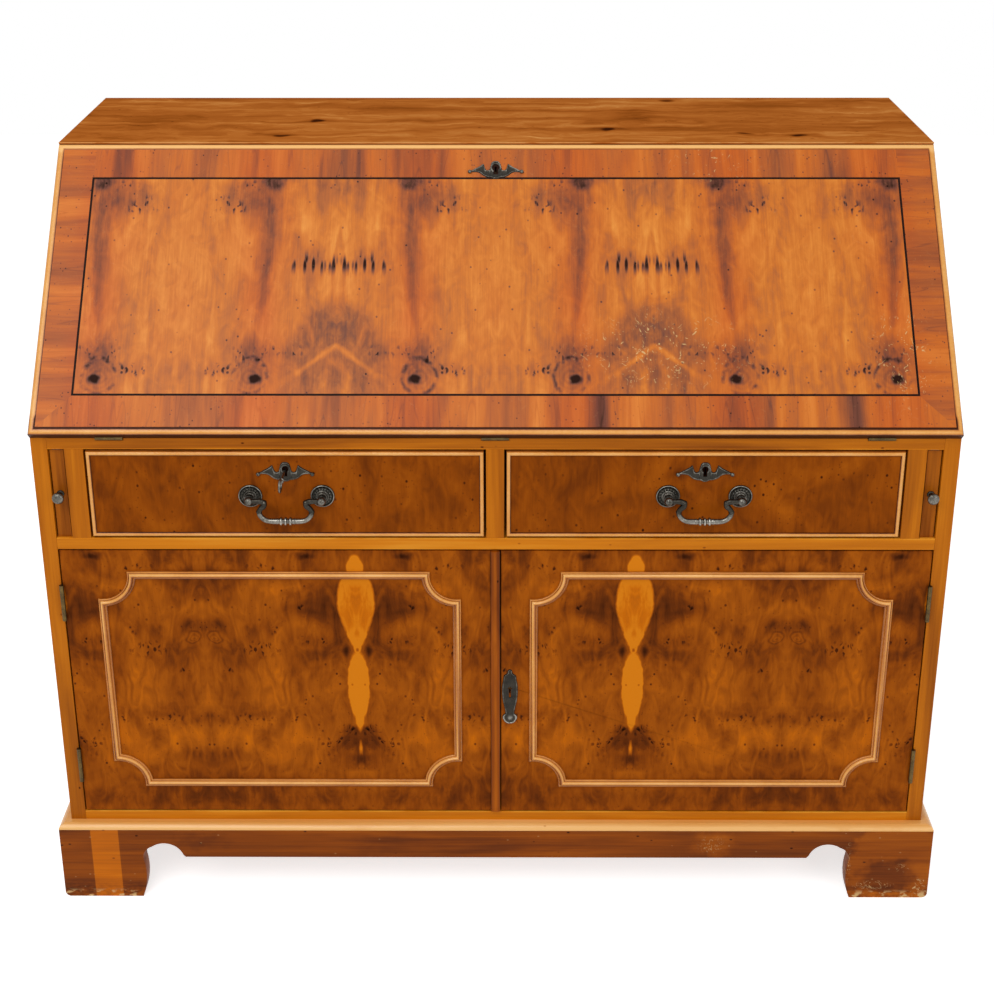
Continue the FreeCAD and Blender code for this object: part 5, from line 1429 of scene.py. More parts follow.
class Looks:
    """Every finish of the bureau, built once."""

    def __init__(self, slope: Slope) -> None:
        """Build the materials.

        Args:
            slope: where the fall lies, which its veneer, bead and hide follow.
        """
        self.veneers(slope)
        self.edges()
        self.trims(slope)
        hide_low, hide_high = corners("fall_leather")
        tilt = math.sin(slope.angle)
        reach = ((level - slope.pin[1]) / tilt for level in (hide_low[2], hide_high[2]))
        hide = slope.panel(*reach, hide_high[0])
        self.lining = PlainBoard("drawer lining, planed", "#B98650", "#8C5A2C", grain=Way.DEEP).material()
        self.back = PinnedBoard("back board, sawn and pinned", "#BC915E", "#94683A", grain=Way.UPRIGHT,
                                band=30.0, panel=Panel.of("back_panel")).material()
        self.inside = PlainBoard("shelf, planed", "#B07A42", "#835225").material()
        self.block = PlainBoard("glue block, sawn", "#6E4A28", "#3E2714", "#20140A").material()
        self.brass = PatinatedBrass("patinated cast brass").material()
        self.rolled = PatinatedBrass("rolled brass, tarnished", "#2E2216", "#6E5A34", "#B49A60").material()
        self.line = BlackLine("black-dyed stringing, polished").material()
        self.hide = TooledHide("waxed green hide, gilt tooled", hide).material()
        self.baize = Baize("wool baize, felted").material()

    def veneers(self, slope: Slope) -> None:
        """The large veneered faces.

        Args:
            slope: where the fall lies.
        """
        front = corners("top_board")[0][1]
        fall = slope.panel(0.0, slope.reach, slope.half_width)
        # The fall's keyhole spot is painted black, as the shade inside the keyhole.
        lift = np.mean(corners("fall_escutcheon"), axis=0)[2] - slope.seat(0.0).origin[2]
        keyhole = Spot(0.0, lift / math.sin(slope.angle) + 0.4, 7.0, 11.5, 0.85)
        self.fall = FallVeneer("book-matched yew veneer, polished", FALL_TONES, gloss=0.2, panel=fall,
                               keyhole=keyhole).material()
        middle, _, eye = np.mean(corners("drawer_right_escutcheon"), axis=0)
        self.top = TopVeneer("yew veneer lengthways, polished", TOP_TONES, gloss=0.0, base=0.62, band=30.0,
                             contrast=1.5, worn=(Wear(Way.DEEP, front, 4.0, 0.5),)).material()
        self.door = DoorVeneer("book-matched burr yew veneer, polished", BURR_TONES, gloss=0.04, base=0.55,
                               depth=0.95, face=corners("door_left")[0][1]).material()
        # Each drawer front is painted black inside its keyhole, as painted shade.
        self.burr = BurrYew("burr yew veneer, polished", BURR_TONES, gloss=0.03, base=0.48, depth=0.5,
                            keyhole=Spot(middle, eye, 8.0, 12.0, 0.8)).material()
        self.plinth_front = PlinthYew("plinth yew across, polished", BURR_TONES, base=0.43,
                                      band=30.0).material()
        self.plinth_side = StraightYew("plinth yew front to back, polished", BURR_TONES, grain=Way.DEEP,
                                       base=0.46, band=30.0).material()

    def edges(self) -> None:
        """The rails and uprights, each with its worn edges."""
        lip = corners("writing_board")[0][2]
        dust, foot = (corners(name)[1][2] for name in ("dust_board", "bottom_board"))
        # The upper rail's low base tone is painted shade under the fall's lip.
        rails = (("upper", 0.46, 1.2, Wear(Way.UPRIGHT, lip, 2.4, 0.34)),
                 ("lower", 0.7, 1.0, Wear(Way.UPRIGHT, dust, 2.6, 0.3)),
                 ("bottom", 0.68, 1.0, Wear(Way.UPRIGHT, foot, 2.6, 0.3)))
        self.upper_rail, self.lower_rail, self.foot_rail = (
            StraightYew(f"{name} rail lipping across, polished", EDGE_TONES, base=base, contrast=contrast,
                        worn=(wear,)).material() for name, base, contrast, wear in rails)
        uprights = (("side lipping", 0.46, 1.2), ("centre post", 0.58, 1.2), ("loper post", 0.44, 1.3),
                    ("loper end", 0.3, 1.2))
        self.stile, self.post, self.slip, self.loper = (
            StraightYew(f"{name} upright, polished", EDGE_TONES, grain=Way.UPRIGHT, base=base,
                        contrast=contrast).material() for name, base, contrast in uprights)

    def trims(self, slope: Slope) -> None:
        """The beads and mouldings.

        Args:
            slope: where the fall lies.
        """
        shine = {"tones": BEAD_TONES, "roughness": 0.27, "gloss": 0.4}
        lipping = slope.panel(0.0, slope.reach, slope.half_width)
        # Every bead below gets a painted highlight on its crown and painted shade in its quirk; the lipping
        # is also painted lighter at its top and with shade at its foot.
        self.lipping = BeadYew("fall lipping, scraped and polished", panel=lipping, width=9.8, crown=4.2,
                               top_light=0.6, foot_shading=0.8, **shine).material()
        self.beads = {}
        for side in Side:
            panel = Panel.of(f"drawer_{side.word}_bead")
            self.beads[side] = BeadYew(f"{side.word} drawer bead, scraped and polished", panel=panel,
                                       **shine).material()
        self.moulding = MouldedYew("stained yew moulding, polished", **shine).material()
        low, high = corners("astragal")
        middle = (low[0] + high[0]) / 2
        # The astragal is painted lighter down its middle as a highlight on its round, and darker at its two
        # edges as painted shade where it meets the doors.
        edges = tuple(Wear(Way.ACROSS, edge, 2.4, -0.2) for edge in (low[0], high[0]))
        self.astragal = StraightYew("astragal upright, polished", BURR_TONES, gloss=0.1, grain=Way.UPRIGHT,
                                    base=0.48, worn=(Wear(Way.ACROSS, middle, 4.0, 0.14), *edges)).material()
        low = corners("plinth_moulding")[0]
        worn = (Wear(Way.DEEP, low[1], 5.0, 0.3), Wear(Way.UPRIGHT, low[2], 2.4, -0.25))
        self.base_moulding = StraightYew("base moulding, scraped and polished", base=0.86, contrast=0.7,
                                         band=60.0, knots=0.4, worn=worn, **shine).material()


# Fittings

def prism(ring: Array, seat: Seat, low: float, high: float) -> Array:
    """A closed prism over an outline, with each end drawn in to the outline's middle.

    Args:
        ring: the outline's points across and along the seat.
        seat: the face that it stands on.
        low: height of its near end.
        high: height of its far end.
    Returns:
        A grid of points, one ring per row.
    """
    middle = np.repeat(ring.mean(axis=0)[None], len(ring), axis=0)
    outline = np.stack([middle, ring, ring, middle])
    return seat.put(outline[..., 0], outline[..., 1], np.array([low, low, high, high])[:, None])


@dataclass(frozen=True)
class TurnedKnob:
    """A small turned knob: its profile from a flat foot, and the heights and brightness of its rubbing."""

    profile: tuple
    rub_and_highlight_from: float
    rub_and_highlight_to: float
    bright: float = 1.0
    sectors: int = 40
    steps: int = 6

    def build(self, name: str, seat: Seat) -> bpy.types.Object:
        """Turn the profile on its seat, rubbed towards its face.

        Args:
            name: the piece's name.
            seat: the face that its foot stands on.
        Returns:
            The knob.
        """
        profile = np.vstack([np.array(self.profile[:1]), through(self.profile[1:], self.steps)])
        # Rubbed wear and a painted highlight: the knob is made brighter towards its face.
        rub_and_highlight = smooth_step(profile[:, 1], self.rub_and_highlight_from, self.rub_and_highlight_to)[:, None] * self.bright
        shell = Shell()
        shell.lay(seat.turned(profile, self.sectors), rub_and_highlight)
        return shell.mesh(name)


@dataclass(frozen=True)
class Keyhole:
    """A keyhole: a round eye with a slot below it, or a slot under an arrow head."""

    eye: float
    slot: float
    drop: float
    arrow: bool = False

    def tool(self, seat: Seat, depth: float) -> bpy.types.Object:
        """A closed prism of the keyhole's outline, wide at the eye and pointed or square at the foot.

        Args:
            seat: the plate's face, with its origin at the eye.
            depth: how far the prism reaches both ways.
        Returns:
            The cutting mesh.
        """
        half = self.slot / 2
        if self.arrow:
            side = [(0.0, self.eye), (self.eye * 1.3, -self.eye * 0.4), (half, -self.eye * 0.2),
                    (half, -self.drop)]
            side = np.array(side)
        else:
            turn = np.linspace(math.pi / 2, -0.9, 10)
            side = np.vstack([self.eye * np.stack([np.cos(turn), np.sin(turn)], 1),
                              [(half * 0.5, -self.drop)]])
        shell = Shell()
        shell.lay(prism(np.vstack([side, (side * (-1, 1))[::-1]]), seat, -depth, depth))
        return shell.mesh("keyhole")


@dataclass(frozen=True)
class CastPlate:
    """A thin lock plate, cast with a raised rim round a sunk ground and pierced by a keyhole."""

    height: float = 28.0
    rise: float = 18.0
    hole: Keyhole = Keyhole(4.2, 10.0, 10.4)
    gauge: float = 1.8
    rim: float = 1.5
    ground: float = 0.45
    hollow: float = 0.55

    def relief(self, edge: Array, boss: Array) -> tuple[Array, Array]:
        """The rim's bead, by the distance from the edge, and the face's height with its boss.

        Args:
            edge: distance from the plate's edge.
            boss: share of the gauge that a boss stands at.
        Returns:
            The bead and the height.
        """
        sunk = self.hollow * smooth_step(edge, self.rim * 0.8, self.rim * 1.9)
        bead = smooth_step(edge, 0.0, self.rim * 0.6) - sunk
        return bead, self.ground + (self.gauge - self.ground) * np.maximum(bead, boss)

    def face(self, seat: Seat, across: Array, along: Array, height: Array, rub_and_highlight: Array) -> Shell:
        """A grid over the plate, closed at the back by a column on the seat at either side.

        Args:
            seat: the face that the plate lies on.
            across: distances across the seat.
            along: distances up the seat.
            height: heights over it.
            rub: how bright each point is rubbed.
        Returns:
            The plate's shell.
        """
        sides = ((0, 0), (1, 1))
        across, along = (np.pad(np.broadcast_to(way, height.shape), sides, mode="edge")
                         for way in (across, along))
        shell = Shell()
        shell.lay(seat.put(across, along, np.pad(height, sides)), np.pad(rub_and_highlight, sides))
        return shell

    def finished(self, shell: Shell, name: str, seat: Seat) -> bpy.types.Object:
        """The plate's mesh with its keyhole cut through.

        Args:
            shell: the plate's shell.
            name: the piece's name.
            seat: the face that the plate lies on.
        Returns:
            The plate.
        """
        plate = shell.mesh(name)
        pierced(plate, self.hole.tool(seat, 2 * self.gauge))
        return plate


@dataclass(frozen=True)
class WingPlate(CastPlate):
    """A bat-wing lock plate with a raised rim: outlines of half the plate, in shares of its sizes."""

    width: float = 77.0
    ball: float = 2.7
    steps: int = 12
    columns: int = 60
    rows: int = 31
    ball_sectors: int = 20
    crest: tuple = ((0.0, 1.0), (0.08, 0.985), (0.15, 0.9), (0.19, 0.72), (0.215, 0.56), (0.27, 0.49),
                    (0.33, 0.5), (0.375, 0.58), (0.41, 0.73), (0.445, 0.84), (0.5, 0.79), (0.6, 0.69),
                    (0.74, 0.58), (0.86, 0.49), (1.0, 0.42))
    keel: tuple = ((0.0, 0.0), (0.08, 0.015), (0.16, 0.075), (0.3, 0.1), (0.44, 0.18), (0.54, 0.3),
                   (0.64, 0.37), (0.78, 0.39), (0.9, 0.375), (1.0, 0.36))

    def build(self, name: str, seat: Seat) -> bpy.types.Object:
        """Lay the plate on its seat, with balls at the wing tips, and pierce its keyhole.

        The face is a grid across the plate and up from keel to crest; its height is a rim bead at the edges
        and a hollow inside, both from the distance to the nearer edge.

        Args:
            name: the piece's name.
            seat: the face it lies on, with its origin at the keyhole's eye.
        Returns:
            The plate.
        """
        half = self.width / 2
        crest, keel = through(self.crest, self.steps), through(self.keel, self.steps)
        across = np.unique(np.concatenate([crest[:, 0], np.linspace(0, 1, self.columns)]))
        across = np.concatenate([-across[:0:-1], across])
        top = np.interp(np.abs(across), crest[:, 0], crest[:, 1]) * self.height
        foot = np.interp(np.abs(across), keel[:, 0], keel[:, 1]) * self.height
        share = 0.5 - 0.5 * np.cos(np.linspace(0, math.pi, self.rows))
        along = foot[:, None] + (top - foot)[:, None] * share
        slope_up = np.hypot(1, np.gradient(top, across * half))[:, None]
        slope_down = np.hypot(1, np.gradient(foot, across * half))[:, None]
        edge = np.minimum((top[:, None] - along) / slope_up, (along - foot[:, None]) / slope_down)
        edge = np.minimum(edge, (half - np.abs(across * half))[:, None])
        eye = np.hypot(across[:, None] * half, along - self.rise)
        boss = bell(eye - self.hole.eye - 1.2, 1.1)
        bead, height = self.relief(edge, boss * 0.9)
        rub_and_highlight = np.clip(0.08 + (bead - 0.45) * 0.8 + 0.3 * boss, 0, 1)
        shell = self.face(seat, (across * half)[:, None], along - self.rise, height, rub_and_highlight)
        tip_height = (self.crest[-1][1] + self.keel[-1][1]) / 2 * self.height - self.rise
        turn = np.linspace(0, math.pi, 13)
        ball = np.stack([self.ball * np.sin(turn), self.ball * 0.75 * (1 - np.cos(turn))], axis=1)
        for sign in (-1, 1):
            centre = seat.put(sign * (half - self.ball), tip_height, 0.0)
            shell.lay(Seat(tuple(centre), seat.up, seat.out).turned(ball, self.ball_sectors), 0.5)
        return self.finished(shell, name, seat)


@dataclass(frozen=True)
class LongPlate(CastPlate):
    """The door's long lock plate: half widths up its height, in shares of the height, with a round foot."""

    height: float = 87.0
    rise: float = 57.0
    hole: Keyhole = Keyhole(3.0, 2.9, 15.0, True)
    rim: float = 1.3
    hollow: float = 0.5
    steps: int = 8
    columns: int = 27
    half_widths: tuple = ((0.0, 0.0), (0.012, 4.5), (0.04, 7.6), (0.09, 9.9), (0.135, 10.3), (0.165, 8.6),
                          (0.19, 6.4), (0.23, 6.6), (0.32, 8.1), (0.45, 10.2), (0.58, 11.0), (0.72, 10.6),
                          (0.8, 9.4), (0.85, 8.9), (0.885, 8.2), (0.91, 5.6), (0.935, 3.6), (0.965, 3.2),
                          (0.985, 2.4), (1.0, 0.0))

    def build(self, name: str, seat: Seat) -> bpy.types.Object:
        """Lay the plate on its seat: a grid up the plate and across it, with a rim bead and a bossed foot.

        Args:
            name: the piece's name.
            seat: the face it lies on, with its origin at the keyhole's eye.
        Returns:
            The plate.
        """
        outline = through(self.half_widths, self.steps)
        share, half = outline[:, 0], np.maximum(outline[:, 1], 0.0)
        along = share * self.height
        across = half[:, None] * np.sin(np.linspace(-math.pi / 2, math.pi / 2, self.columns))
        lean = np.hypot(1, np.gradient(half, along))[:, None]
        edge = (half[:, None] - np.abs(across)) / lean
        foot = np.hypot(across, (along - 0.105 * self.height)[:, None])
        boss = bell(foot, 4.2) + 0.8 * bell(foot - 8.4, 1.4) * (share < 0.17)[:, None]
        bead, height = self.relief(edge, boss)
        rub_and_highlight = np.clip(0.9 * boss + (bead - 0.5), 0, 1)
        shell = self.face(seat, across, (along - self.rise)[:, None], height, rub_and_highlight)
        return self.finished(shell, name, seat)


@dataclass(frozen=True)
class BailHandle:
    """A swan-neck bail on two rosettes: spacing and reach of its posts, its bend and its turned parts."""

    spacing: float = 96.0
    reach: float = 18.0
    bar: float = 3.5
    petals: int = 16
    front_thickness: float = 20.0
    nut: float = 4.5
    neck: tuple = ((0.0, 0.0), (6.0, 0.0), (12.5, 0.1), (17.5, -0.6), (20.4, -3.0), (19.8, -6.4),
                   (16.6, -9.6), (13.9, -13.2), (13.4, -17.2), (15.2, -21.6), (18.6, -25.4), (23.0, -27.9),
                   (29.0, -28.9), (38.0, -29.0), (48.0, -29.0))
    saucer_profile: tuple = ((0.0, 0.0), (16.0, 0.0), (16.0, 1.0), (15.7, 2.1), (15.0, 2.7), (14.2, 2.6),
                             (13.5, 1.9), (12.6, 1.3), (11.4, 1.2), (10.2, 1.5), (9.4, 2.4), (9.0, 3.6),
                             (8.2, 4.2), (7.4, 4.4), (7.0, 5.2), (6.6, 6.2), (5.6, 6.8), (5.0, 8.2),
                             (4.9, 10.6), (5.2, 12.6))
    collars: tuple = ((15.0, 0.5, 3.0), (20.5, 1.0, 1.1), (26.5, 0.5, 3.2), (36.0, 0.6, 1.2))
    ball: float = 6.0
    steps: int = 12
    bar_sectors: int = 20
    rosette_sectors: int = 96

    def bail(self, name: str, seat: Seat) -> bpy.types.Object:
        """The bail: a round section carried along its bend, swelling at collars and rings.

        The section's radius is the bar's plus a bell curve of the distance along at each collar and ring.

        Args:
            name: the piece's name.
            seat: a seat whose origin is midway between the posts' heads, on the swing's axis.
        Returns:
            The bail.
        """
        half = through(self.neck, self.steps)
        half = half - (self.spacing / 2, 0.0)
        path = np.vstack([half, (half * (-1, 1))[-2::-1]])
        step = np.hypot(*np.diff(path, axis=0).T)
        run = np.concatenate([[0.0], np.cumsum(step)])
        whole = run[-1]
        from_end = np.minimum(run, whole - run)
        from_middle = np.abs(run - whole / 2)
        radius = self.bar - 0.5 * bell(from_end, 9.0) + 0.35 * bell(from_middle - 14.0, 7.0)
        radius = radius + sum(rise * bell(from_end - at, wide) for at, rise, wide in self.collars)
        bands = sum(2.1 * np.exp(-((from_middle - at) / 1.8) ** 4) for at in (0.0, 6.2))
        radius = radius + bands + 0.5 * bell(from_middle - 11.0, 1.0)
        way = np.gradient(path, axis=0)
        way = way / np.hypot(way[:, 0], way[:, 1])[:, None]
        turn = np.linspace(0, FULL_TURN, self.bar_sectors, endpoint=False)
        sideways = radius[:, None] * np.cos(turn)
        across = path[:, :1] - way[:, 1:] * sideways
        along = path[:, 1:] + way[:, :1] * sideways
        grid = seat.put(across, along, radius[:, None] * np.sin(turn))
        caps = [np.broadcast_to(seat.put(*end, 0.0), (1, len(turn), 3)) for end in (path[0], path[-1])]
        rub_and_highlight = 0.2 + 0.5 * smooth_step(from_end, 34.0, 44.0) + 0.15 * bands
        shell = Shell()
        shell.lay(np.vstack([caps[0], grid, caps[1]]), np.concatenate([rub_and_highlight[:1], rub_and_highlight, rub_and_highlight[-1:]])[:, None])
        return shell.mesh(name)

    def rosettes(self, name: str, seat: Seat) -> bpy.types.Object:
        """Two saucers with sunray petals, posts with ball heads, and the nuts behind the drawer's front.

        Args:
            name: the piece's name.
            seat: a seat on the front's face, with its origin midway between the posts.
        Returns:
            The rosettes as one piece.
        """
        saucer = np.vstack([np.array(self.saucer_profile[:2]), through(self.saucer_profile[2:], 5)])
        radius, height = saucer.T
        petal = np.where(height < 3.0, bell(radius - 9.6, 2.6), 0.0) * 0.55
        # The saucer's outer rim and the ball heads are made brighter: rubbed wear and a painted highlight.
        rub_and_highlight = 0.7 * bell(radius - 15.2, 0.9) + 0.4 * smooth_step(height, 2.6, 4.0)
        turn = np.linspace(0.62, math.pi, 14)
        head = np.stack([self.ball * np.sin(turn), self.reach - self.ball * np.cos(turn)], axis=1)
        head = head[np.argsort(head[:, 1])]
        post = np.vstack([saucer, head])
        petal = np.concatenate([petal, np.zeros(len(head))])
        ray = np.cos(self.petals * np.linspace(0, FULL_TURN, self.rosette_sectors, endpoint=False))
        tint = np.concatenate([rub_and_highlight, np.full(len(head), 0.5)])[:, None] + 0.9 * petal[:, None] * ray
        nut = np.array([(0.0, 0.0), (4.2, 0.0), (self.nut, 0.4), (self.nut, 3.6), (4.2, 4.0), (2.4, 4.0),
                        (2.4, 5.5), (2.0, 6.0), (0.0, 6.0)])
        nut[:, 1] = -self.front_thickness - nut[:, 1]
        shell = Shell()
        for sign in (-1, 1):
            place = Seat(tuple(seat.put(sign * self.spacing / 2, 0.0, 0.0)), seat.up, seat.out)
            shell.lay(place.turned(post, self.rosette_sectors, petal, self.petals), np.clip(tint, 0, 1))
            shell.lay(place.turned(nut, 6), 0.3)
        return shell.mesh(name)


@dataclass(frozen=True)
class CabinetKey:
    """A small key standing in a lock: shank, collar, bit and a ring bow seen edge on."""

    reach: float = 64.0
    shank: float = 1.6
    bow: float = 11.5
    bar: float = 2.0
    gauge: float = 1.5
    inside: float = 16.9
    bit: float = 4.0
    bit_half: float = 1.1
    bit_drop: float = 7.0
    shank_sectors: int = 20
    bow_steps: int = 48
    bow_sectors: int = 14

    def build(self, name: str, seat: Seat) -> bpy.types.Object:
        """A turned shank and a bow whose section is carried round an oval.

        Args:
            name: the piece's name.
            seat: the front's face, with its origin at the keyhole's eye.
        Returns:
            The key.
        """
        end = self.reach - 2 * self.bow
        profile = [(0.0, -self.inside), (self.shank, -self.inside), (self.shank, end - 7.0), (2.9, end - 6.4),
                   (3.3, end - 5.2), (2.9, end - 4.0), (2.0, end - 3.4), (2.0, end - 1.8), (2.7, end - 1.0),
                   (2.7, end + 0.2), (1.8, end + 1.2), (0.0, end + 2.2)]
        shell = Shell()
        shell.lay(seat.turned(np.array(profile), self.shank_sectors), 0.7)
        around = np.linspace(0, FULL_TURN, self.bow_steps, endpoint=False)[:, None]
        section = np.linspace(0, FULL_TURN, self.bow_sectors, endpoint=False)
        middle = self.bow - self.bar
        swell = 1 + 0.18 * np.cos(2 * around)
        far = middle * swell + self.bar * np.cos(section)
        along = 0.92 * far * np.sin(around)
        height = end + self.bow - far * np.cos(around) / 1.18
        shell.lay(seat.put(self.gauge * np.sin(section) + 0 * around, along, height), 0.6, closed=True)
        side, low, high = self.bit_half, -self.bit_drop, -self.shank * 0.5
        ring = np.array([(-side, low), (side, low), (side, high), (-side, high)])
        shell.lay(prism(ring, seat, -self.inside, self.bit - self.inside), 0.4)
        return shell.mesh(name)


# Sub-assemblies

@dataclass
class Carcass:
    """The fixed case: boards, rails, pigeonholes and fittings."""

    looks: Looks
    arris: float = 0.7

    def build(self) -> None:
        """Dress the case's boards."""
        looks = self.looks
        boards = ((looks.top, "top_board"), (looks.stile, "side_panels"), (looks.post, "centre_divider"),
                  (looks.slip, "loper_dividers"), (looks.upper_rail, "writing_board"),
                  (looks.lower_rail, "dust_board"), (looks.foot_rail, "bottom_board"))
        for look, board in boards:
            dressed(look, board, arris=self.arris)
        dressed(looks.back, "back_panel")
        dressed(looks.inside, "cupboard_shelf", "travel_stops", "pigeonholes")
        dressed(looks.rolled, "shelf_pegs", "carcass_fittings", "hinge_pins")


@dataclass
class Plinth:
    """The plinth with its bracket feet and moulding."""

    looks: Looks
    arris: float = 1.2

    def build(self) -> None:
        """Dress the plinth's boards and moulding."""
        dressed(self.looks.plinth_front, "plinth_front", arris=self.arris)
        dressed(self.looks.plinth_side, "plinth_sides", arris=self.arris)
        dressed(self.looks.base_moulding, "plinth_moulding")
        dressed(self.looks.block, "foot_blocks")


@dataclass
class FallFront:
    """The sloping fall with its veneers, lipping, leather and lock."""

    looks: Looks
    slope: Slope
    top_gap: float = 1.0
    key_drop: float = 38.0
    plate: WingPlate = WingPlate(hole=Keyhole(5.0, 14.0, 11.0))

    def build(self) -> None:
        """Dress the fall and set its lock plate."""
        looks = self.looks
        dressed(looks.fall, "fall_board")
        dressed(looks.lipping, "fall_lipping")
        dressed(looks.line, "fall_stringing")
        dressed(looks.hide, "fall_leather")
        dressed(looks.rolled, "fall_hinge_leaves", "fall_lock", "fall_lock_bolt")
        seat = self.slope.seat(self.slope.reach - self.top_gap - self.key_drop)
        plate = self.plate.build("fall_lock_plate", seat)
        seated(plate, "fall_front", "antique_brass", looks.brass, "fall_escutcheon")


@dataclass
class Drawer:
    """A drawer with its bead, lock plate and bail handle; the left one holds the key."""

    looks: Looks
    side: Side
    key_rise: float = 18.0
    handle: BailHandle = field(default_factory=BailHandle)
    plate: WingPlate = field(default_factory=WingPlate)

    def build(self) -> None:
        """Dress the drawer and make its fittings."""
        looks, body = self.looks, f"drawer_{self.side.word}"
        dressed(looks.burr, f"{body}_front")
        dressed(looks.beads[self.side], f"{body}_bead")
        dressed(looks.lining, f"{body}_box")
        dressed(looks.rolled, f"{body}_lock", f"{body}_lock_bolt")
        low, high = corners(f"{body}_front")
        middle, face = (low[0] + high[0]) / 2, low[1]
        eye = Seat((middle, face, corners(f"{body}_escutcheon")[0][2] + self.key_rise))
        plate = self.plate.build(f"{body}_lock_plate", eye)
        seated(plate, body, "antique_brass", looks.brass, f"{body}_escutcheon")
        height = np.mean(corners(f"{body}_rosettes"), axis=0)[2]
        rosettes = self.handle.rosettes(f"{body}_rosette_pair", Seat((middle, face, height)))
        seated(rosettes, body, "antique_brass", looks.brass, f"{body}_rosettes")
        bail = self.handle.bail(f"{body}_swan_bail", Seat((middle, face - self.handle.reach, height)))
        seated(bail, f"{body}_handle", "antique_brass", looks.brass, f"{body}_bail")
        if self.side is Side.LEFT:
            key = CabinetKey().build("cabinet_key", eye)
            seated(key, "key", "antique_brass", looks.brass, "key")


@dataclass
class Loper:
    """A pull-out support for the open fall, with a turned knob and a baize pad on its nose."""

    looks: Looks
    side: Side
    pad_length: float = 46.0
    pad_height: float = 1.6
    pad_inset: float = 1.0
    pad_roundness: float = 0.22
    pad_sectors: int = 48
    knob: TurnedKnob = TurnedKnob(
        ((0.0, 0.0), (5.0, 0.0), (5.2, 0.8), (4.6, 1.8), (3.4, 2.6), (2.9, 5.0), (3.2, 8.6), (4.6, 10.6),
         (6.8, 12.0), (7.8, 13.6), (8.0, 15.2), (7.4, 17.0), (5.6, 18.8), (3.0, 19.7), (0.0, 20.0)),
        rub_and_highlight_from=10.0, rub_and_highlight_to=16.0, bright=0.55)

    def build(self) -> None:
        """Dress the loper and make its knob and pad."""
        body = f"loper_{self.side.word}"
        dressed(self.looks.loper, body)
        low, high = corners(body)
        middle = (low[0] + high[0]) / 2
        rise = np.mean(corners(f"{body}_knob"), axis=0)[2]
        knob = self.knob.build(f"{body}_turned_knob", Seat((middle, low[1], rise)))
        seated(knob, body, "antique_brass", self.looks.brass, f"{body}_knob")
        pad = self.pad(f"{body}_baize_pad", low, high)
        seated(pad, body, "tooled_leather", self.looks.baize, crease=60.0)

    def pad(self, name: str, low: Array, high: Array) -> bpy.types.Object:
        """A thin pad with rounded edges: rings of a rounded rectangle, drawn in towards the top.

        Args:
            name: the piece's name.
            low: the loper's lowest corner.
            high: the loper's highest corner.
        Returns:
            The pad.
        """
        half = np.array([(high[0] - low[0]) / 2 - self.pad_inset, self.pad_length / 2])
        centre = np.array([(low[0] + high[0]) / 2, low[1] + self.pad_inset + self.pad_length / 2])
        turn = np.linspace(0, FULL_TURN, self.pad_sectors, endpoint=False)
        circle = np.stack([np.cos(turn), np.sin(turn)], 1)
        round_corner = np.sign(circle) * np.abs(circle) ** self.pad_roundness
        inset = np.array([half.max(), 0.0, 0.0, 0.25, 0.9, half.max()])[:, None, None]
        height = np.array([0.0, 0.0, 0.6, 0.9, 1.0, 1.0])[:, None] * self.pad_height
        flat = centre + round_corner * np.maximum(half - inset, 0.0)
        grid = np.dstack([flat, np.broadcast_to(high[2] + height, flat.shape[:2])])
        shell = Shell()
        shell.lay(grid)
        return shell.mesh(name)


@dataclass
class InnerDrawer:
    """A small drawer under the pigeonholes, with a beaded burr front and a turned knob."""

    looks: Looks
    side: Side
    knob_reach: float = 18.0
    bead: tuple = ((0.0, 0.0), (0.0, 0.5), (0.4, 1.1), (1.2, 1.4), (2.0, 1.1), (2.4, 0.5), (2.8, 0.4))
    knob: TurnedKnob = TurnedKnob(
        ((0.0, 0.0), (6.6, 0.0), (6.9, 0.8), (5.6, 1.8), (4.3, 3.0), (4.0, 6.0), (4.6, 8.6), (7.4, 10.0),
         (9.3, 11.4), (9.8, 13.4), (9.4, 15.4), (7.6, 17.4), (4.6, 18.4), (0.0, 18.7)),
        rub_and_highlight_from=9.0, rub_and_highlight_to=15.0)

    def build(self) -> None:
        """Dress the drawer's box, then make its front and its knob.

        The front is rings of a rectangle, drawn in by the bead's inset and raised by its height.
        """
        body = f"inner_drawer_{self.side.word}"
        dressed(self.looks.lining, body)
        low, high = corners(body)
        middle, half = (low + high) / 2, (high - low) / 2
        face = Seat((middle[0], low[1] + self.knob_reach, middle[2]))
        whole = half.max()
        inset, height = np.array([(whole, 0.0), *self.bead, (whole, self.bead[-1][1])]).T
        ring = np.array([(-1.0, -1.0), (1.0, -1.0), (1.0, 1.0), (-1.0, 1.0)])
        flat = ring * np.maximum(half[[0, 2]] - inset[:, None, None], 0.0)
        front = Shell()
        front.lay(face.put(flat[..., 0], flat[..., 1], height[:, None]))
        seated(front.mesh(f"{body}_veneered_front"), body, "figured_veneer", self.looks.burr)
        # The wooden knob is painted paler towards its face as a highlight.
        knob = self.knob.build(f"{body}_turned_knob", face)
        seated(knob, body, "polished_edge", self.looks.moulding)


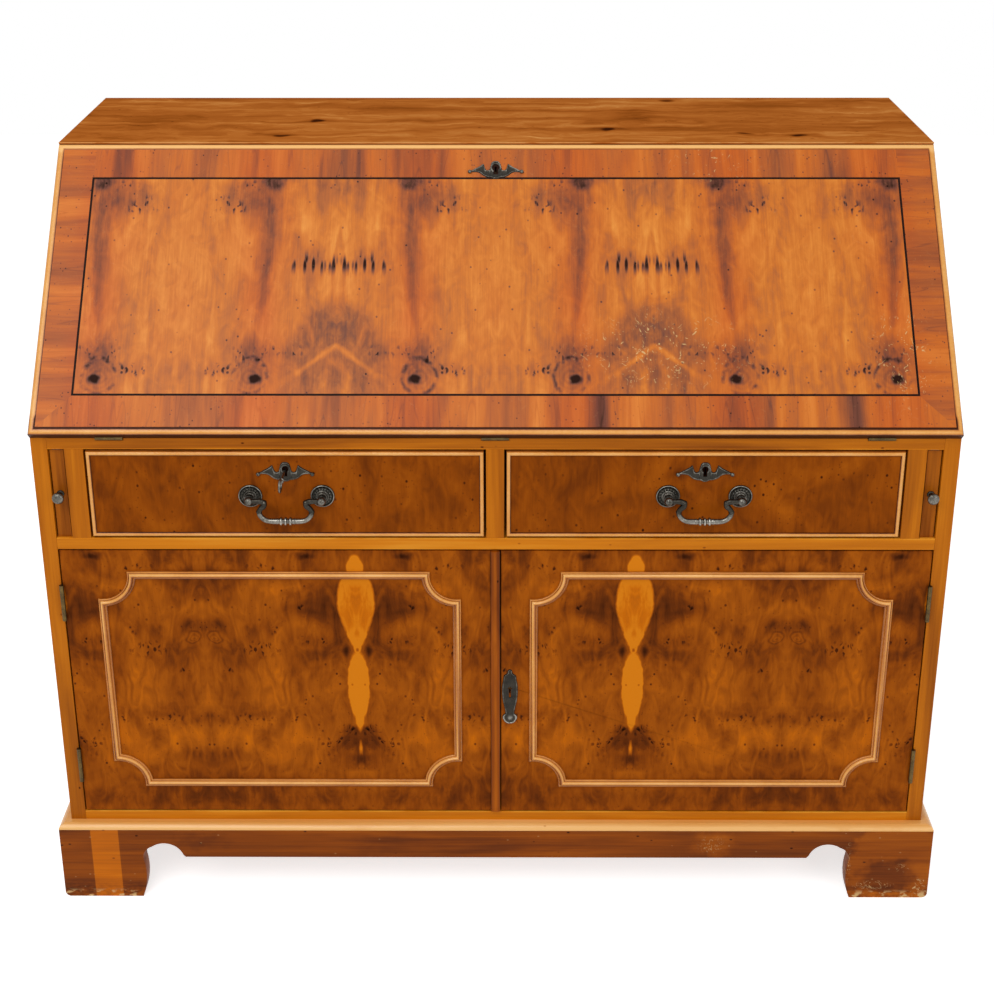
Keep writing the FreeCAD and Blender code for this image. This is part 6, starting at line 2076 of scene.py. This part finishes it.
@dataclass
class Door:
    """A cupboard door with an applied moulding; the left one carries the astragal, the right one the lock."""

    looks: Looks
    side: Side
    moulding_width: float = 11.0
    corner_radius: float = 42.0
    arris: float = 0.7
    key_rise: float = 57.0
    corner_steps: int = 19
    profile: tuple = ((0.0, 0.0), (0.0, 2.0), (0.3, 2.9), (1.1, 3.4), (1.9, 3.1), (2.3, 2.5), (2.7, 3.0),
                      (3.3, 4.6), (4.4, 5.7), (5.6, 6.0), (6.8, 5.6), (7.7, 4.4), (8.1, 3.2), (8.5, 2.7),
                      (8.9, 3.0), (9.7, 3.2), (10.5, 2.7), (11.0, 1.6), (11.0, 0.0))

    def build(self) -> None:
        """Dress the door and make its moulding and, on the right, its lock plate."""
        looks, name = self.looks, f"door_{self.side.word}"
        dressed(looks.door, name, arris=self.arris)
        dressed(looks.rolled, f"{name}_hinge_leaves")
        moulding = self.moulding(f"{name}_panel_moulding")
        seated(moulding, name, "polished_edge", looks.moulding, f"{name}_moulding", crease=60.0)
        if self.side is Side.LEFT:
            dressed(looks.astragal, "astragal")
            dressed(looks.rolled, "door_left_bolt")
            return
        dressed(looks.rolled, "door_lock", "door_lock_bolt")
        low, high = corners("door_escutcheon")
        seat = Seat(((low[0] + high[0]) / 2, high[1], low[2] + self.key_rise))
        plate = LongPlate().build("door_lock_plate", seat)
        seated(plate, name, "antique_brass", looks.brass, "door_escutcheon")

    def moulding(self, name: str) -> bpy.types.Object:
        """The moulding: its profile carried round a rectangle with hollow corners.

        At a distance d inside the outer edge the rectangle shrinks by d and each hollow corner, an arc about
        the outer rectangle's corner, grows to radius + d, so every profile point has its own outline and the
        mitres follow. Cloth rubs its crown most, and what faces upwards more than what faces down.

        Args:
            name: the piece's name.
        Returns:
            The moulding.
        """
        low, high = corners(f"door_{self.side.word}_moulding")
        inset, height = np.array(self.profile).T
        inset = inset - self.moulding_width / 2
        edge = self.moulding_width / 2
        radius = self.corner_radius + inset
        start = np.arcsin(inset / radius)
        turn = start[:, None] + (math.pi / 2 - 2 * start)[:, None] * np.linspace(0, 1, self.corner_steps)
        reach = np.stack([np.cos(turn), np.sin(turn)], axis=-1) * radius[:, None, None]
        there = (np.array([low[0], low[2]]) + edge, np.array([high[0], high[2]]) - edge)
        arcs = []
        for x, z in ((0, 0), (1, 0), (1, 1), (0, 1)):
            arc = np.array([there[x][0], there[z][1]]) + reach * (1 - 2 * x, 1 - 2 * z)
            arcs.append(arc[:, ::-1] if x == z else arc)
        path = np.concatenate(arcs, axis=1)
        deep = np.broadcast_to(high[1] - height[:, None], path.shape[:2])
        grid = np.stack([path[..., 0], deep, path[..., 1]], -1)
        # Painted light: a painted highlight on the crown, and lighter where the profile faces upwards than
        # where it faces down.
        lean = np.gradient(height)[:, None] * np.gradient(path[..., 1], axis=0)
        lean = lean / (np.gradient(inset) ** 2 + np.gradient(height) ** 2)[:, None]
        rub_and_highlight = np.clip(0.42 * smooth_step(height, 2.2, 5.0)[:, None] - 1.1 * lean, 0, 1)
        shell = Shell()
        shell.lay(grid, rub_and_highlight, closed=True)
        return shell.mesh(name)


@dataclass
class Studio:
    """Floor, light and camera: a pale floor under a white sky, soft lamps, and the lens of the view."""

    floor_size: float = 9.0
    image: tuple[int, int] = (994, 995)
    focal: float = 1668.85
    axis: tuple[float, float] = (497.0, 360.0)
    place: tuple[float, float, float] = (12.94, -2256.15, 1596.78)
    yaw: float = -0.2937
    pitch: float = 20.949
    roll: float = -0.0745
    sky: float = 0.5
    floor_tones: Stops = ((0.0, "#EDEDED"), (1.0, "#F4F4F4"))
    floor_lift: float = 0.68
    aim_height: float = 0.55
    far_clip: float = 50.0
    lamps: tuple = (("key", (-1.2, -2.4, 3.4), 2.4, 66.0), ("fill", (2.4, -2.8, 2.2), 2.2, 26.0))

    def build(self) -> None:
        """Make the floor, the light and the camera."""
        self.floor()
        self.light()
        self.camera()

    def shown(self, tree: Tree) -> Socket:
        """One for what the camera sees, straight, in gloss or through a pane; zero for what only lights.

        Args:
            tree: node tree.
        Returns:
            The mask.
        """
        seen = add(tree, Node.LIGHT_PATH).node.outputs
        shown = add(tree, Node.MATH, [seen["Is Camera Ray"], seen["Is Glossy Ray"]], operation="MAXIMUM")
        return add(tree, Node.MATH, [shown, seen["Is Transmission Ray"]], operation="MAXIMUM")

    def floor(self) -> None:
        """A flat floor that is white to the camera and keeps the shadow."""
        half = self.floor_size / 2
        mesh = bpy.data.meshes.new("floor")
        square = [(-half, -half, 0), (half, -half, 0), (half, half, 0), (-half, half, 0)]
        mesh.from_pydata(square, [], [(0, 1, 2, 3)])
        floor = bpy.data.objects.new("floor", mesh)
        bpy.context.scene.collection.objects.link(floor)
        made = bpy.data.materials.new("white studio floor, painted")
        made.use_nodes = True
        tree = made.node_tree
        tree.nodes.clear()
        place = add(tree, Node.COORDINATES).node.outputs["Object"]
        mottle = add(tree, Node.NOISE, {"Vector": place, "Scale": 3.0, "Detail": 2.0})
        colour = add(tree, Node.RAMP, [mottle], stops=self.floor_tones)
        lift = add(tree, Node.MATH, [self.shown(tree), self.floor_lift], operation="MULTIPLY")
        shader = add(tree, Node.PRINCIPLED, {"Base Color": colour, "Roughness": 0.9,
                                             "Specular IOR Level": 0.0, "Emission Color": linear(WHITE),
                                             "Emission Strength": lift})
        add(tree, Node.OUTPUT, {"Surface": shader})
        mesh.materials.append(made)

    def light(self) -> None:
        """A sky that is white to the camera and to gloss, and softer as a light; and soft lamps."""
        scene = bpy.context.scene
        scene.view_settings.view_transform = "Standard"
        scene.world = scene.world or bpy.data.worlds.new("studio")
        scene.world.use_nodes = True
        tree = scene.world.node_tree
        tree.nodes.clear()
        strength = add(tree, Node.MAP_RANGE, [self.shown(tree), 0.0, 1.0, self.sky, 1.0])
        sky = add(tree, Node.BACKGROUND, {"Color": linear(WHITE), "Strength": strength})
        add(tree, Node.WORLD_OUTPUT, {"Surface": sky})
        for name, place, size, power in self.lamps:
            lamp = bpy.data.lights.new(name, "AREA")
            lamp.size = size
            lamp.energy = power
            stand = bpy.data.objects.new(name, lamp)
            stand.location = place
            aim = Vector((0.0, 0.0, self.aim_height)) - stand.location
            stand.rotation_euler = aim.to_track_quat("-Z", "Y").to_euler()
            scene.collection.objects.link(stand)

    def camera(self) -> None:
        """The camera, turned by yaw, pitch and roll, its lens moved so that its axis meets the image high."""
        yaw, pitch, roll = (math.radians(angle) for angle in (self.yaw, self.pitch, self.roll))
        ahead = np.array([math.sin(yaw) * math.cos(pitch), math.cos(yaw) * math.cos(pitch), -math.sin(pitch)])
        level = np.array([math.cos(yaw), -math.sin(yaw), 0.0])
        upright = np.cross(level, ahead)
        right = math.cos(roll) * level + math.sin(roll) * upright
        up = math.cos(roll) * upright - math.sin(roll) * level
        lens = bpy.data.cameras.new("camera")
        lens.sensor_fit = "HORIZONTAL"
        lens.lens = lens.sensor_width * self.focal / self.image[0]
        lens.shift_x = (self.image[0] / 2 - self.axis[0]) / self.image[0]
        lens.shift_y = (self.axis[1] - self.image[1] / 2) / self.image[0]
        lens.clip_end = self.far_clip
        camera = bpy.data.objects.new("camera", lens)
        turned_to = np.eye(4)
        turned_to[:3, :3] = np.stack([right, up, -ahead], axis=1)
        turned_to[:3, 3] = np.array(self.place) * MM
        camera.matrix_world = Matrix(turned_to.tolist())
        bpy.context.scene.collection.objects.link(camera)
        bpy.context.scene.camera = camera


def main() -> None:
    """Build every sub-assembly, then the studio, and write the two boxes."""
    logging.basicConfig(level=logging.INFO, format="%(message)s")
    slope = Slope.measured()
    looks = Looks(slope)
    assemblies = [Carcass(looks), Plinth(looks), FallFront(looks, slope)]
    for side in Side:
        assemblies += [Drawer(looks, side), Loper(looks, side), InnerDrawer(looks, side), Door(looks, side)]
    for assembly in assemblies:
        LOG.info("%s", type(assembly).__doc__)
        assembly.build()
    Studio().build()


if __name__ == "__main__":
    main()
